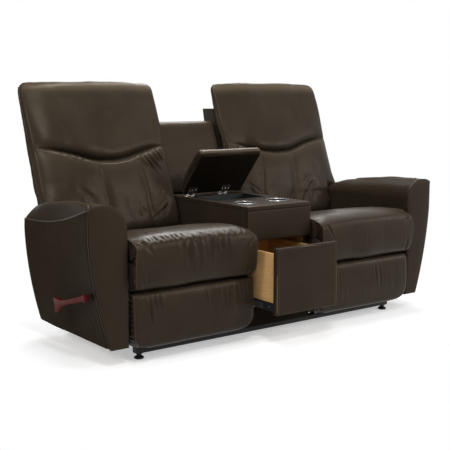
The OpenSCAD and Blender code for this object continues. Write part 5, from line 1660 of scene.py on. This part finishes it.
def floor_material():
    """Pale floor that keeps the shadows near the loveseat and runs out to plain white further off."""
    material = bpy.data.materials.new("floor")
    material.use_nodes = True
    tree = material.node_tree
    nodes, links = tree.nodes, tree.links
    nodes.clear()
    out = nodes.new("ShaderNodeOutputMaterial")
    diffuse = nodes.new("ShaderNodeBsdfDiffuse")
    diffuse.inputs["Color"].default_value = (0.80, 0.80, 0.80, 1)
    glow, white = nodes.new("ShaderNodeEmission"), nodes.new("ShaderNodeEmission")
    glow.inputs["Strength"].default_value = 0.42
    place = nodes.new("ShaderNodeTexCoord").outputs["Object"]
    for kind, value in (("ABSOLUTE", None), ("SUBTRACT", cad_high), ("MAXIMUM", (0, 0, 0)), ("LENGTH", None)):
        step = nodes.new("ShaderNodeVectorMath")
        step.operation = kind
        if value is not None:
            step.inputs[1].default_value = value
        links.new(place, step.inputs[0])
        place = step.outputs["Value" if kind == "LENGTH" else "Vector"]
    far_off = ramp(tree, place, 0.04, 0.36)
    near_by, seen, shown = (nodes.new("ShaderNodeAddShader"), nodes.new("ShaderNodeMixShader"),
                            nodes.new("ShaderNodeMixShader"))
    links.new(diffuse.outputs[0], near_by.inputs[0])
    links.new(glow.outputs[0], near_by.inputs[1])
    links.new(far_off, seen.inputs[0])
    links.new(near_by.outputs[0], seen.inputs[1])
    links.new(white.outputs[0], seen.inputs[2])
    links.new(seen_ray(nodes, links), shown.inputs[0])
    links.new(diffuse.outputs[0], shown.inputs[1])
    links.new(seen.outputs[0], shown.inputs[2])
    links.new(shown.outputs[0], out.inputs["Surface"])
    return material


def white_world():
    """White behind the loveseat, and a weaker even light on it."""
    world = bpy.data.worlds.new("white")
    world.use_nodes = True
    nodes, links = world.node_tree.nodes, world.node_tree.links
    nodes.clear()
    out = nodes.new("ShaderNodeOutputWorld")
    shown, lit = nodes.new("ShaderNodeBackground"), nodes.new("ShaderNodeBackground")
    shown.inputs["Color"].default_value = (1, 1, 1, 1)
    lit.inputs["Color"].default_value = (1, 1, 1, 1)
    lit.inputs["Strength"].default_value = 0.30
    choose = nodes.new("ShaderNodeMixShader")
    links.new(seen_ray(nodes, links), choose.inputs[0])
    links.new(lit.outputs[0], choose.inputs[1])
    links.new(shown.outputs[0], choose.inputs[2])
    links.new(choose.outputs[0], out.inputs["Surface"])
    return world


def soft_box(name, place, at, width, height, watts):
    """A rectangular lamp at a place, aimed at another."""
    lamp = bpy.data.lights.new(name, "AREA")
    lamp.shape = "RECTANGLE"
    lamp.size, lamp.size_y = width, height
    lamp.energy = watts
    made = bpy.data.objects.new(name, lamp)
    made.location = place
    made.rotation_euler = (Vector(at) - Vector(place)).to_track_quat("-Z", "Y").to_euler()
    bpy.context.scene.collection.objects.link(made)


class LOVESEAT_OT_stage(bpy.types.Operator):
    """Pale floor, soft boxes and the camera"""

    bl_idname = "loveseat.stage"
    bl_label = "Stage"

    def execute(self, context):
        make_stage()
        return {"FINISHED"}


class LOVESEAT_OT_materials(bpy.types.Operator):
    """Leather, wood, metal and plastic for every piece"""

    bl_idname = "loveseat.materials"
    bl_label = "Materials"

    def execute(self, context):
        make_materials(context.scene.loveseat_colours)
        return {"FINISHED"}


class LOVESEAT_PT_panel(bpy.types.Panel):
    """Lists the loveseat's sizes, colours and pieces."""

    bl_idname = "LOVESEAT_PT_panel"
    bl_label = "Loveseat"
    bl_space_type = "VIEW_3D"
    bl_region_type = "UI"
    bl_category = "Loveseat"

    def draw(self, context):
        for values in (context.scene.loveseat_sizes, context.scene.loveseat_colours):
            for label in values.__annotations__:
                self.layout.prop(values, label)
        for operator in operators:
            self.layout.operator(operator.bl_idname)


operators = (LOVESEAT_OT_stage, LOVESEAT_OT_materials, LOVESEAT_OT_seats, LOVESEAT_OT_backs,
             LOVESEAT_OT_footrests, LOVESEAT_OT_arms, LOVESEAT_OT_console, LOVESEAT_OT_lid,
             LOVESEAT_OT_drawer, LOVESEAT_OT_metalwork)
classes = (LoveseatSizes, LoveseatColours, *operators, LOVESEAT_PT_panel)


def register():
    for c in classes:
        bpy.utils.register_class(c)
    bpy.types.Scene.loveseat_sizes = bpy.props.PointerProperty(type=LoveseatSizes)
    bpy.types.Scene.loveseat_colours = bpy.props.PointerProperty(type=LoveseatColours)


def unregister():
    del bpy.types.Scene.loveseat_sizes
    del bpy.types.Scene.loveseat_colours
    for c in reversed(classes):
        bpy.utils.unregister_class(c)


def main():
    register()
    for operator in operators:
        group_name, call = operator.bl_idname.split(".")
        getattr(getattr(bpy.ops, group_name), call)()


if __name__ == "__main__":
    main()
